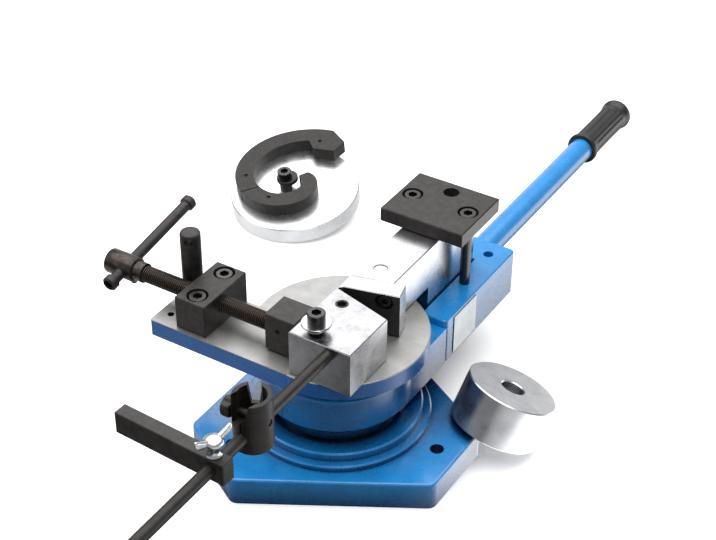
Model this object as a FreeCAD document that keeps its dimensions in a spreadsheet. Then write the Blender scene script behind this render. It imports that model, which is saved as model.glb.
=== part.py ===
import FreeCAD, Part
import Sketcher
import math
import os
import re

V = FreeCAD.Vector
# Manual metal bender, modelled piece by piece in millimetres.
# The origin is the lever's pivot axis at the underside of the base. +X runs from the pivot to the
# roller's side, the table's arm lies along -X, and the lever at rest points along +Y.

# Headings in degrees of what repeats three or four times round the pivot.
THIRDS = (0, 120, 240)
QUARTERS = (45, 135, 225, 315)

doc = FreeCAD.newDocument("metal_bender")
sheet = doc.addObject("Spreadsheet::Sheet", "dims")
# Driving dimensions in millimetres, or in degrees for a turn, a tilt, a skew or an angle.
SIZES = {
    # Fits and gaps that many pieces share.
    "running_gap": 0.05, "flat_gap": 0.3, "hole_gap": 0.5,
    # Base: an equiangular hexagon with three long and three short sides, and two round steps.
    "base_thickness": 28, "long_side_distance": 101.6, "short_side_distance": 128.75,
    "base_corner_radius": 9, "base_edge_radius": 2.5, "lower_step_radius": 88, "lower_step_height": 6,
    "upper_step_radius": 80, "upper_step_height": 8, "well_radius": 65.5, "well_depth": 4,
    "step_edge_radius": 1.5, "base_hole_radius": 6.5, "base_hole_circle": 107,
    # Kingpin: a stout fixed post that carries the table and lets the lever turn round it.
    "kingpin_radius": 39.95, "kingpin_flange_radius": 57, "kingpin_flange_thickness": 12,
    "kingpin_sink": 0.5, "kingpin_spigot": 4.5, "kingpin_screw_circle": 48, "kingpin_screw_grip": 16,
    "kingpin_thread_depth": 22,
    # Thrust washers above and below the lever's hub.
    "lower_washer_thickness": 4, "upper_washer_thickness": 3, "washer_radius": 58, "washer_bore_gap": 1,
    # Lever: a cast hub and a cast arm that passes under the table.
    "hub_height": 52.7, "hub_radius": 70, "hub_neck_radius": 60, "hub_neck_height": 7.7,
    "hub_cone_height": 10, "bush_wall": 5, "bush_inset": 1.7, "table_gap": 10.5, "lever_centre": 20,
    "lever_width": 95, "lever_height": 49, "lever_under_table": 2.5, "ledge_end": 82, "lever_end": 220.6,
    "lever_corner_radius": 5, "slot_side_gap": 1.5, "slot_depth": 15, "slot_end_gap": 3,
    "rail_hole_radius": 5, "rail_hole_depth": 22, "rail_hole_reach": 28.35, "rail_hole_inset": 20.6,
    # Table: a round plate over the pivot with an arm for the clamping screw.
    "table_thickness": 17, "table_radius": 81.3, "table_shift_x": 3, "table_shift_y": 1.3,
    "arm_length": 149.5, "arm_width": 69, "table_screw_grip": 18,
    "arm_corner_radius": 2, "table_boss_radius": 60, "table_screw_circle": 28, "table_screw_turn": 65,
    "arm_hole_radius": 3, "arm_hole_end_gap": 11.5, "arm_hole_inset": 16,
    # Clamping block at the pivot, with a slanted far face.
    "block_width": 62, "block_reach": 76.6, "block_angle": 15, "block_height": 45, "block_edge": 0.8,
    "block_bolt_x": 20.1, "block_bolt_inset": 13.1, "block_bolt_grip": 16, "block_plug_x": 17.2,
    "block_plug_y": -18.6, "block_plug_radius": 6, "block_plug_length": 20,
    "block_washer_radius": 13.25, "block_washer_thickness": 2.5, "spring_wire": 2.6,
    "spring_radius": 6.9, "spring_turns": 1.85, "spring_pitch": 3.3, "block_screw_a_x": 8,
    "block_screw_a_y": -55, "block_screw_b_x": 52, "block_screw_b_y": -46, "block_screw_grip": 15,
    # Cap screws by thread size: radius, head and socket.
    "m8_radius": 4, "m8_head_radius": 6.5, "m8_head_height": 8, "m8_socket": 6, "m10_radius": 5,
    "m10_head_radius": 8, "m10_head_height": 10, "m10_socket": 8, "m12_radius": 6, "m12_head_radius": 9,
    "m12_head_height": 12, "m12_socket": 10, "socket_share": 0.5, "head_chamfer": 0.6,
    "counterbore_gap": 2, "sunk": 0.6, "head_room": 0.5,
    # Bending bar on the lever, with a hardened plate on its front.
    "bar_width": 40, "bar_left": 0, "bar_height": 44, "bar_gap": 1, "bar_end": 183,
    "bar_foot_start": 95, "bar_edge": 0.8, "face_angle": 14, "face_offset": 2.9, "face_start": 5.04,
    "face_end": 57.5, "face_plate_thickness": 18, "nose_x": 0.9, "nose_y": 0.9,
    "face_screw_a": 42.7, "face_screw_a_drop": 9.2, "face_screw_b": 18.7, "face_screw_b_drop": 34.8,
    "face_screw_grip": 12, "face_counterbore": 9.5, "bar_pin_radius": 6.75, "bar_pin_x": 18.2,
    "bar_pin_y": 44.7, "bar_pin_sink": 0.8, "foot_screw_first": 110, "foot_screw_pitch": 20,
    "foot_screw_grip": 20,
    # Top plate over the bar, held down by two long screws.
    "top_plate_x": 21.3, "top_plate_width": 87, "top_plate_length": 73, "top_plate_thickness": 15,
    "top_plate_gap": 0.5, "top_plate_edge": 1, "top_plate_screw_reach": 29.7,
    "top_plate_screw_y": 146.4, "top_plate_screw_grip": 22, "top_plate_hole_radius": 7.75,
    "top_plate_hole_y": 167.8,
    # Tubular handle and its fluted grip.
    "tube_radius": 13, "tube_wall": 3, "tube_start": 140, "tube_end": 566, "tube_height": 72,
    "tube_screw_radius": 5, "tube_screw_y": 175, "tube_screw_socket": 5, "grip_radius": 15.5,
    "grip_start": 478, "grip_end": 574, "grip_lip": 2, "grip_lip_length": 5, "grip_flange": 2.2,
    "grip_flange_length": 9, "grip_flutes": 12, "grip_flute_depth": 1.1, "grip_flute_radius": 2.6,
    # Blank plate on the lever's right side.
    "label_width": 43, "label_height": 41, "label_thickness": 0.8, "label_start": 97, "label_drop": 4,
    # Nut block, clamping screw and its handle.
    "nut_block_inset": 26.7, "nut_block_width": 32.6, "nut_block_length": 65, "nut_block_height": 33.4,
    "nut_block_front": 4, "nut_block_edge": 0.8, "nut_screw_a_inset": 12.8, "nut_screw_b_inset": 53.4,
    "nut_screw_grip": 15, "nut_counterbore": 10.6, "screw_axis_y": -44.9, "screw_axis_height": 18,
    "screw_radius": 8, "screw_pitch": 2, "screw_thread_depth": 1.1, "screw_gap": 0.12,
    "screw_thread_start": -180, "screw_head_start": -221, "screw_head_length": 31.5,
    "screw_head_radius": 12, "screw_collar_radius": 9.6, "head_edge": 1.2, "grub_radius": 3,
    "grub_length": 8.5, "grub_stand": 3.5, "grub_inset": 26, "grub_socket": 3, "tbar_inset": 19,
    "tbar_radius": 5.5, "tbar_tilt": 10.2, "tbar_up": 97.1, "tbar_down": 23.9, "knob_radius": 7.3,
    "knob_length": 9, "knob_edge": 1.6,
    # Moving clamp jaw on the end of the screw.
    "jaw_x": -36.5, "jaw_thickness": 31.5, "jaw_width": 31, "jaw_height": 38, "jaw_table_gap": 1.7,
    "jaw_edge": 0.8, "journal_radius": 7, "journal_length": 21, "journal_end_gap": 0.5,
    "jaw_pin_radius": 2.5, "jaw_pin_inset": 13.6, "groove_radius": 4, "groove_width": 5.8,
    # Stop post on the arm.
    "post_radius": 9.6, "post_height": 69, "post_inset": 9.7, "post_y": -26.7, "post_hole_radius": 4,
    "post_hole_height": 62, "post_hole_turn": 26, "post_edge": 2.5, "post_spigot_radius": 6,
    "post_spigot_length": 14,
    # Stop rod and what slides on it.
    "rod_radius": 5.5, "rod_x": 40, "rod_height": 37, "rod_depth": 30, "rod_end": -380, "rod_edge": 0.8,
    "stop_bar_length": 110.6, "stop_bar_width": 13.4, "stop_bar_height": 21.3, "stop_bar_reach": 13.7,
    "stop_bar_y": -237.8, "stop_bar_skew": -2.9, "stop_bar_edge": 0.8, "wing_thread_radius": 3,
    "wing_stem_radius": 5, "wing_stem_height": 10, "wing_hub_radius": 8.5, "wing_hub_height": 7,
    "wing_reach": 19, "wing_width": 8, "wing_thickness": 3.2, "wing_lean": 18, "wing_turn": 75,
    "rest_radius": 16.8, "rest_y": -186, "rest_foot": 15.2, "rest_height": 49.7,
    "rest_bore_radius": 12.5, "rest_cup_depth": 27, "back_notch_heading": 115, "back_notch_top": 12,
    "back_notch_root": 7, "back_notch_depth": 19.5, "front_notch_heading": 254, "front_notch_top": 22,
    "front_notch_root": 9, "front_notch_floor": 6, "front_notch_step": 16, "front_notch_shoulder": 9,
    "rest_slit": 2, "pinch_height": 12.5, "pinch_radius": 3,
    "pinch_knob_radius": 9.5, "pinch_knob_length": 9, "pinch_knob_gap": 1, "pinch_flutes": 6,
    "pinch_flute_radius": 3,
    # Scroll set: a round plate, a two-part spiral former and an eccentric locking pin.
    "scroll_x": -244.4, "scroll_y": 294.7, "scroll_radius": 72.5, "scroll_thickness": 18.3,
    "scroll_bevel": 1.2, "scroll_tilt": 8.8, "locating_pin_radius": 6, "locating_pin_spread": 25,
    "locating_pin_y": 45, "locating_pin_depth": 10, "former_height": 15, "spiral_radius": 86,
    "spiral_turn": 120, "spiral_fall": 0.227, "former_width": 21.5, "outer_former_start": 93,
    "outer_former_heel": 108, "outer_former_end": 229, "inner_former_start": 230.5,
    "inner_former_end": 420, "inner_former_share": 0.7, "tip_outer_x": 17.2, "tip_outer_y": 80.2,
    "tip_inner_x": 14.9, "tip_inner_y": 60.8, "heel_x": -8.5, "heel_y": 54, "former_hole_radius": 2.5,
    "eccentric_clearance": 15.6, "eccentric_x": -8.3, "eccentric_y": -4.4, "eccentric_throw_x": 0.8,
    "eccentric_throw_y": 3, "eccentric_radius": 12, "eccentric_flange": 5, "shank_radius": 7,
    "shank_depth": 10, "eccentric_screw_grip": 4, "former_screw_a_x": -8.7, "former_screw_a_y": 68.5,
    "former_screw_b_x": -50.6, "former_screw_b_y": -20.9, "former_screw_c_x": -6.3,
    "former_screw_c_y": -40.7, "former_screw_sink": 1, "former_screw_depth": 9,
    "former_screw_socket": 2.5,
    # Loose roller, which leans on the base's edge.
    "roller_radius": 43.5, "roller_height": 44.6, "roller_bore_radius": 11.1, "roller_edge": 1,
    "roller_tilt": 25, "roller_heading": 60, "roller_along": -82,
}

# What follows from the driving dimensions, such as the height of a face.
FORMULAS = {
    "short_half": "(long_side_distance - short_side_distance / 2) / sin(60)",
    "steps_top": "base_thickness + lower_step_height + upper_step_height",
    "well_floor": "steps_top - well_depth",
    "kingpin_top": "table_bottom + kingpin_spigot",
    "kingpin_bore": "kingpin_radius + running_gap",
    "flange_top": "kingpin_sink + kingpin_flange_thickness",
    "hub_bottom": "well_floor + lower_washer_thickness + flat_gap",
    "hub_top": "hub_bottom + hub_height",
    "lever_top": "table_bottom - lever_under_table",
    "lever_bottom": "lever_top - lever_height",
    "lever_left": "lever_centre - lever_width / 2",
    "slot_floor": "lever_top - slot_depth",
    "slot_width": "bar_width + 2 * slot_side_gap",
    "slot_left": "bar_left - slot_side_gap",
    "slot_end": "bar_end + slot_end_gap",
    "table_bottom": "hub_top + table_gap",
    "table_top": "table_bottom + table_thickness",
    "arm_front": "table_shift_y - table_radius",
    "arm_hole_x": "arm_hole_end_gap - arm_length",
    "nut_block_x": "nut_block_inset - arm_length",
    "post_x": "post_inset - arm_length",
    "boss_bottom": "hub_top + flat_gap + upper_washer_thickness",
    "block_top": "table_top + block_height",
    "block_bolt_y": "-block_reach + block_bolt_inset",
    "spring_length": "spring_pitch * spring_turns + spring_wire * 0.8",
    "block_bolt_seat": "block_top + spring_length + block_washer_thickness",
    "bar_bottom": "table_top + bar_gap",
    "bar_top": "bar_bottom + bar_height",
    "bar_right": "bar_left + bar_width",
    "top_plate_bottom": "bar_top + top_plate_gap",
    "top_plate_top": "top_plate_bottom + top_plate_thickness",
    "top_plate_start": "bar_end - top_plate_length",
    "screw_z": "table_top + screw_axis_height",
    "nut_block_y": "arm_front + nut_block_front",
    "tbar_x": "screw_head_start + tbar_inset",
    "jaw_bottom": "table_top + jaw_table_gap",
    "jaw_front": "screw_axis_y - jaw_width / 2",
    "jaw_pin_z": "screw_z + groove_radius + flat_gap + jaw_pin_radius",
    "jaw_pin_x": "jaw_x + jaw_pin_inset",
    "rod_z": "table_top + rod_height",
    "rest_bottom": "rod_z - rest_foot",
    "rest_top": "rest_bottom + rest_height",
    "pinch_z": "rod_z + pinch_height",
    "scroll_z": ("scroll_thickness * cos(scroll_tilt)"
                 " + (scroll_radius - scroll_bevel) * sin(scroll_tilt)"),
    "locating_pin_length": ("(locating_pin_y + scroll_radius - scroll_bevel - locating_pin_radius)"
                            " * tan(scroll_tilt)"),
    "roller_contact": ("((long_side_distance - base_edge_radius) * sin(roller_tilt)"
                       " + (base_thickness - base_edge_radius) * cos(roller_tilt)"
                       " + base_edge_radius + flat_gap) / sin(roller_tilt)"),
    "roller_distance": "roller_contact - roller_radius * cos(roller_tilt)",
    "roller_x": "roller_distance * cos(roller_heading) - roller_along * sin(roller_heading)",
    "roller_y": "roller_distance * sin(roller_heading) + roller_along * cos(roller_heading)",
    "roller_z": "roller_radius * sin(roller_tilt)",
}
NODES = {}

for row, (name, number) in enumerate(SIZES.items(), start=1):
    sheet.set(f"A{row}", name.replace("_", " "))
    sheet.set(f"B{row}", str(number))
    sheet.setAlias(f"B{row}", name)


def expression(text):
    """Writes a formula of named sizes as an expression on the sheet."""
    def written(match):
        name = match.group(0)
        if name in SIZES:
            return "dims." + name
        if name in FORMULAS:
            return "(" + expression(FORMULAS[name]) + ")"
        return name
    return re.sub(r"[a-z][a-z0-9_]*", written, str(text))


def value(text):
    """Works out a formula with the sheet's numbers."""
    return float(sheet.evalExpression(expression(text)))


doc.recompute()

TURNS = {"z": FreeCAD.Rotation(),
         "-z": FreeCAD.Rotation(V(1, 0, 0), 180),
         "x": FreeCAD.Rotation(V(0, 1, 0), 90),
         "-x": FreeCAD.Rotation(V(0, 1, 0), -90),
         "y": FreeCAD.Rotation(V(1, 0, 0), -90),
         "-y": FreeCAD.Rotation(V(1, 0, 0), 90)}


def bind(thing, **links):
    """Ties properties of an object to formulas."""
    for name, text in links.items():
        thing.setExpression(name, expression(text))


def place(thing, at=(0, 0, 0), along="z"):
    """Puts an object at a point given by formulas, with its own Z along a named direction."""
    thing.Placement = FreeCAD.Placement(V(0, 0, 0), TURNS[along])
    for letter, text in zip("xyz", at):
        thing.setExpression("Placement.Base." + letter, expression(text))
    return thing


def lean(thing, angle, axis, at):
    """Tilts an object by an angle about a level axis through a point."""
    thing.Placement = FreeCAD.Placement(V(0, 0, 0), FreeCAD.Rotation(axis, 1))
    thing.setExpression("Placement.Rotation.Angle", expression(angle))
    for letter, text in zip("xyz", at):
        thing.setExpression("Placement.Base." + letter, expression(text))
    return thing


def cylinder(name, radius, height, at=(0, 0, 0), along="z"):
    thing = doc.addObject("Part::Cylinder", name)
    bind(thing, Radius=radius, Height=height)
    return place(thing, at, along)


def brick(name, length, width, height, at=(0, 0, 0)):
    thing = doc.addObject("Part::Box", name)
    bind(thing, Length=length, Width=width, Height=height)
    return place(thing, at)


def hexagon(name, across_flats, height, at, along="z"):
    thing = doc.addObject("Part::Prism", name)
    thing.Polygon = 6
    bind(thing, Circumradius=f"({across_flats}) / 2 / cos(30)", Height=height)
    return place(thing, at, along)


def fuse(name, *pieces):
    thing = doc.addObject("Part::MultiFuse", name)
    thing.Shapes = list(pieces)
    thing.Refine = True
    return thing


def cut(name, base, *tools):
    thing = doc.addObject("Part::Cut", name)
    thing.Base = base
    thing.Tool = tools[0] if len(tools) == 1 else fuse(name + "_tools", *tools)
    return thing


def group(name, *pieces):
    thing = doc.addObject("Part::Compound", name)
    thing.Links = list(pieces)
    return thing


def node(name, thing):
    """Gives a finished sub-part its name, which is also its file's name."""
    thing.Label = name
    NODES[name] = thing
    return thing


def outline(body, plane, points):
    """Draws a closed polygon on one of a body's own planes, every corner tied to formulas."""
    sketch = body.newObject("Sketcher::SketchObject", body.Name + "_outline")
    support = [feature for feature in body.Origin.OriginFeatures if feature.Role == plane][0]
    sketch.AttachmentSupport = [(support, "")]
    sketch.MapMode = "FlatFace"
    corners = [V(value(across), value(up), 0) for across, up in points]
    count = len(corners)
    for index in range(count):
        sketch.addGeometry(Part.LineSegment(corners[index], corners[(index + 1) % count]))
    for index in range(count):
        sketch.addConstraint(Sketcher.Constraint("Coincident", index, 2, (index + 1) % count, 1))
    for index, (across, up) in enumerate(points):
        for kind, text, place_now in (("DistanceX", across, corners[index].x),
                                      ("DistanceY", up, corners[index].y)):
            number = sketch.addConstraint(Sketcher.Constraint(kind, -1, 1, index, 1, place_now))
            sketch.setExpression(f"Constraints[{number}]", expression(text))
    return sketch


def rounded(body, before, kind, size, wanted):
    """Rounds or bevels the edges of a body's feature that a test picks out."""
    doc.recompute()
    names = [f"Edge{index + 1}" for index, edge in enumerate(before.Shape.Edges) if wanted(edge)]
    feature = body.newObject("PartDesign::" + kind, f"{body.Name}_{kind.lower()}")
    feature.Base = (before, names)
    bind(feature, **{"Radius" if kind == "Fillet" else "Size": size})
    body.Tip = feature
    return feature


def upright(edge):
    """True for an edge that runs straight along Z."""
    box = edge.BoundBox
    return box.ZLength > 0.5 and box.XLength < 0.001 and box.YLength < 0.001


def at_height(level):
    """Makes a test for edges that lie level at a height given by a formula."""
    height = value(level)
    return lambda edge: edge.BoundBox.ZLength < 0.001 and abs(edge.BoundBox.ZMin - height) < 0.001


def slab(name, points, height, at=(0, 0, 0), corner=None, edge=None, both=False):
    """A flat piece: a polygon padded upwards, its corners and its rims softened."""
    body = doc.addObject("PartDesign::Body", name)
    sketch = outline(body, "XY_Plane", points)
    pad = body.newObject("PartDesign::Pad", name + "_pad")
    pad.Profile = sketch
    bind(pad, Length=height)
    last = pad
    if corner:
        last = rounded(body, last, "Fillet", corner, upright)
    if edge:
        doc.recompute()
        rims = [at_height(height)] + ([at_height("0")] if both else [])
        rounded(body, last, "Chamfer", edge, lambda piece: any(rim(piece) for rim in rims))
    return place(body, at)


def block(name, length, width, height, at, edge=None):
    """A rectangular piece with every edge slightly bevelled."""
    body = doc.addObject("PartDesign::Body", name)
    points = [("0", "0"), (length, "0"), (length, width), ("0", width)]
    sketch = outline(body, "XY_Plane", points)
    pad = body.newObject("PartDesign::Pad", name + "_pad")
    pad.Profile = sketch
    bind(pad, Length=height)
    if edge:
        rounded(body, pad, "Chamfer", edge, lambda piece: True)
    return place(body, at)


def turned(name, profile, at=(0, 0, 0), along="z"):
    """A round piece: a profile of radius and height turned about its own Z axis."""
    body = doc.addObject("PartDesign::Body", name)
    sketch = outline(body, "XZ_Plane", profile)
    spin = body.newObject("PartDesign::Revolution", name + "_turn")
    spin.Profile = sketch
    spin.ReferenceAxis = (sketch, ["V_Axis"])
    spin.Angle = 360
    return place(body, at, along)


def ring(name, inner, outer, height, at=(0, 0, 0), along="z", edge="0.4"):
    """A washer or bush with bevelled rims."""
    profile = [(inner, "0"), (f"{outer} - {edge}", "0"), (outer, edge),
               (outer, f"{height} - {edge}"), (f"{outer} - {edge}", height), (inner, height)]
    return turned(name, profile, at, along)


def cap_screw(name, thread, grip, at, along="z"):
    """A socket head cap screw. Its own origin is under the head, and the shank points the other way."""
    radius = f"{thread}_radius"
    head = f"{thread}_head_radius"
    tall = f"{thread}_head_height"
    profile = [("0", f"-({grip})"), (f"{radius} - 0.8", f"-({grip})"), (radius, f"-({grip}) + 0.8"),
               (radius, "0"), (head, "0"), (head, f"{tall} - head_chamfer"),
               (f"{head} - head_chamfer", tall), ("0", tall)]
    blank = turned(name + "_blank", profile)
    socket = hexagon(name + "_socket", f"{thread}_socket", tall, (0, 0, f"{tall} * (1 - socket_share)"))
    return place(cut(name, blank, socket), at, along)


def set_screw(name, radius, length, socket, at, along="z"):
    """A headless screw. Its own origin is at its outer end, and it points the other way."""
    profile = [("0", f"-({length})"), (f"{radius} * 0.6", f"-({length})"),
               (radius, f"-({length}) + {radius} * 0.4"), (radius, "-0.5"),
               (f"{radius} - 0.5", "0"), ("0", "0")]
    blank = turned(name + "_blank", profile)
    recess = hexagon(name + "_socket", socket, radius, (0, 0, f"-({radius}) * 0.9"))
    return place(cut(name, blank, recess), at, along)


def counterbore(name, thread, grip, depth, at, along="z", gap="counterbore_gap"):
    """The hole for a cap screw: a clearance bore under a seat and a wider bore above it."""
    shank = cylinder(name + "_shank", f"{thread}_radius + running_gap", f"{grip} + 1",
                     (0, 0, f"-({grip}) - 1"))
    head = cylinder(name + "_head", f"{thread}_head_radius + {gap}", depth)
    return place(fuse(name, shank, head), at, along)


def base_corner(heading, side):
    """A corner of the base, beside the short side that faces a heading."""
    across = f"short_side_distance * cos({heading}) - {side} * short_half * sin({heading})"
    up = f"short_side_distance * sin({heading}) + {side} * short_half * cos({heading})"
    return across, up


def base_plate():
    """The painted hexagonal foot with two round steps, a well and the kingpin's seat."""
    corners = [base_corner(heading, side) for heading in THIRDS for side in (-1, 1)]
    plate = slab("foot", corners, "base_thickness", corner="base_corner_radius")
    rim = at_height("base_thickness")
    rounded(plate, plate.Tip, "Fillet", "base_edge_radius", rim)
    first_top = "base_thickness + lower_step_height"
    profile = [("0", "base_thickness - 1"), ("lower_step_radius", "base_thickness - 1"),
               ("lower_step_radius", f"{first_top} - step_edge_radius"),
               ("lower_step_radius - step_edge_radius", first_top), ("upper_step_radius", first_top),
               ("upper_step_radius", "steps_top - step_edge_radius"),
               ("upper_step_radius - step_edge_radius", "steps_top"), ("well_radius", "steps_top"),
               ("well_radius", "well_floor"), ("0", "well_floor")]
    steps = turned("steps", profile)
    body = fuse("foot_and_steps", plate, steps)
    holes = [cylinder("kingpin_hole", "kingpin_bore", "steps_top"),
             cylinder("flange_pocket", "kingpin_flange_radius + hole_gap", "flange_top", (0, 0, 0))]
    for heading in THIRDS:
        at = (f"base_hole_circle * cos({heading})", f"base_hole_circle * sin({heading})", "0")
        holes.append(cylinder("bolt_hole", "base_hole_radius", "base_thickness", at))
    for heading in QUARTERS:
        at = (f"kingpin_screw_circle * cos({heading})", f"kingpin_screw_circle * sin({heading})",
              "flange_top")
        holes.append(cylinder("flange_screw_hole", "m8_radius", "kingpin_screw_grip + 1", at))
    node("base_plate", cut("base_plate", body, *holes))


def kingpin():
    """The fixed post, its flange and the screws that hold it up into the base."""
    profile = [("0", "kingpin_sink"), ("kingpin_flange_radius", "kingpin_sink"),
               ("kingpin_flange_radius", "flange_top"), ("kingpin_radius", "flange_top"),
               ("kingpin_radius", "kingpin_top - 1"), ("kingpin_radius - 1", "kingpin_top"),
               ("0", "kingpin_top")]
    post = turned("kingpin_blank", profile)
    holes = []
    screws = []
    seat = "kingpin_sink + m8_head_height + head_room"
    for heading in QUARTERS:
        at = (f"kingpin_screw_circle * cos({heading})", f"kingpin_screw_circle * sin({heading})", seat)
        grip = f"kingpin_screw_grip + flange_top - ({seat})"
        holes.append(counterbore("kingpin_seat", "m8", grip, "m8_head_height + 1", at, "-z", "hole_gap"))
        screws.append(cap_screw("kingpin_screw", "m8", grip, at, "-z"))
    for step in THIRDS:
        at = (f"table_screw_circle * cos(table_screw_turn + {step})",
              f"table_screw_circle * sin(table_screw_turn + {step})",
              "kingpin_top - kingpin_thread_depth")
        holes.append(cylinder("table_screw_thread", "m10_radius", "kingpin_thread_depth + 1", at))
    node("kingpin", cut("kingpin", post, *holes))
    node("kingpin_screws", group("kingpin_screws", *screws))


def thrust_washers():
    """Bronze rings that carry the lever's hub and keep it down."""
    bore = "kingpin_radius + washer_bore_gap"
    node("lower_thrust_washer", ring("lower_thrust_washer", bore, "washer_radius",
                                     "lower_washer_thickness", (0, 0, "well_floor")))
    node("upper_thrust_washer", ring("upper_thrust_washer", bore, "washer_radius",
                                     "upper_washer_thickness", (0, 0, "hub_top + flat_gap")))


def countersunk_screw(name, at, length):
    """A flush screw with a conical head. Its own origin is the middle of the head's face."""
    cone = "m10_radius * 2"
    profile = [("0", f"-({length})"), ("m10_radius - 0.8", f"-({length})"),
               ("m10_radius", f"-({length}) + 0.8"), ("m10_radius", "-m10_radius"), (cone, "-0.3"),
               (cone, "0"), ("0", "0")]
    blank = turned(name + "_blank", profile)
    socket = hexagon(name + "_socket", "m8_socket", "m10_radius", (0, 0, "-m10_radius * 0.7"))
    return place(cut(name, blank, socket), at)


def table():
    """The ground table over the pivot, with its arm, and the screws that hold it to the kingpin."""
    disc = turned("disc", [("0", "table_bottom"), ("table_radius - 1", "table_bottom"),
                           ("table_radius", "table_bottom + 1"), ("table_radius", "table_top - 0.8"),
                           ("table_radius - 0.8", "table_top"), ("0", "table_top")],
                  ("table_shift_x", "table_shift_y", "0"))
    arm = slab("arm", [("-arm_length", "arm_front"), ("0", "arm_front"), ("0", "arm_front + arm_width"),
                       ("-arm_length", "arm_front + arm_width")], "table_thickness",
               (0, 0, "table_bottom"), corner="arm_corner_radius")
    boss = cylinder("table_boss", "table_boss_radius", "table_bottom - (boss_bottom) + 1",
                    (0, 0, "boss_bottom"))
    body = fuse("table_body", disc, arm, boss)
    holes = [cylinder("kingpin_spigot_hole", "kingpin_bore", "kingpin_top - (boss_bottom)",
                      (0, 0, "boss_bottom"))]
    screws = []
    for step in THIRDS:
        at = (f"table_screw_circle * cos(table_screw_turn + {step})",
              f"table_screw_circle * sin(table_screw_turn + {step})", "table_top - 0.2")
        length = "table_top - (kingpin_top) + table_screw_grip"
        screws.append(countersunk_screw("table_screw", at, length))
        sink = turned("table_screw_hole", [("0", "-(table_thickness)"),
                                           ("m10_radius + running_gap", "-(table_thickness)"),
                                           ("m10_radius + running_gap", "-m10_radius"),
                                           ("m10_radius * 2 + running_gap", "-0.3"),
                                           ("m10_radius * 2 + running_gap", "1"), ("0", "1")], at)
        holes.append(sink)
    holes.append(cylinder("arm_hole", "arm_hole_radius", "table_thickness",
                          ("arm_hole_x", "arm_front + arm_hole_inset", "table_bottom")))
    for across in ("block_screw_a", "block_screw_b"):
        at = (across + "_x", across + "_y", "table_bottom + m10_head_height + head_room")
        depth = "table_bottom + m10_head_height + head_room - (boss_bottom) + 1"
        holes.append(counterbore("block_screw_seat", "m10", "table_thickness", depth, at, "-z",
                                 "hole_gap"))
    holes.append(cylinder("block_bolt_thread", "m10_radius", "table_thickness",
                          ("block_bolt_x", "block_bolt_y", "table_bottom")))
    for inset in ("nut_screw_a_inset", "nut_screw_b_inset"):
        holes.append(cylinder("nut_screw_thread", "m10_radius", "table_thickness",
                              ("nut_block_x + nut_block_width / 2", "nut_block_y + " + inset,
                               "table_bottom")))
    holes.append(cylinder("post_spigot_hole", "post_spigot_radius", "table_thickness",
                          ("post_x", "post_y", "table_bottom")))
    node("table_casting", cut("table_casting", body, *holes))
    node("table_screws", group("table_screws", *screws))


def clamp_block():
    """The silver block that the work is clamped against and bent round, with its fasteners."""
    far = "-block_width * tan(block_angle)"
    body = slab("block_blank", [("0", "-block_reach"), ("block_width", "-block_reach"),
                                ("block_width", far), ("0", "0")], "block_height", (0, 0, "table_top"),
                edge="block_edge", both=True)
    bolt = ("block_bolt_x", "block_bolt_y")
    holes = [cylinder("block_bolt_hole", "m10_radius + hole_gap", "block_height", bolt + ("table_top",)),
             cylinder("block_plug_hole", "block_plug_radius", "block_plug_length",
                      ("block_plug_x", "block_plug_y", "block_top - block_plug_length")),
             cylinder("rod_hole", "rod_radius", "rod_depth", ("rod_x", "-block_reach", "rod_z"), "y")]
    screws = []
    for across in ("block_screw_a", "block_screw_b"):
        at = (across + "_x", across + "_y", "table_bottom + m10_head_height + head_room")
        grip = "table_thickness - m10_head_height - head_room + block_screw_grip"
        holes.append(cylinder("block_screw_thread", "m10_radius", "block_screw_grip + 1",
                              at[:2] + ("table_top",)))
        screws.append(cap_screw("block_screw", "m10", grip, at, "-z"))
    node("clamp_block", cut("clamp_block", body, *holes))
    node("block_screws", group("block_screws", *screws))
    grip = "block_bolt_seat - (table_top) + block_bolt_grip"
    node("block_bolt", cap_screw("block_bolt", "m10", grip, bolt + ("block_bolt_seat",)))
    node("block_washer", ring("block_washer", "m10_radius + hole_gap", "block_washer_radius",
                              "block_washer_thickness", bolt + ("block_top + spring_length",)))
    node("block_plug", set_screw("block_plug", "block_plug_radius", "block_plug_length",
                                 "m10_socket", ("block_plug_x", "block_plug_y", "block_top")))


def bent_edge(start, heading, finish):
    """An arc that leaves a point along a heading and ends at another point."""
    chord = finish - start
    across = heading * chord.dot(heading)
    side = chord - across
    if side.Length < 1e-6:
        return Part.LineSegment(start, finish).toShape()
    radius = chord.Length ** 2 / (2 * side.Length)
    centre = start + side.normalize() * radius
    middle = (start + finish) / 2 - centre
    return Part.Arc(start, centre + middle.normalize() * radius, finish).toShape()


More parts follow.
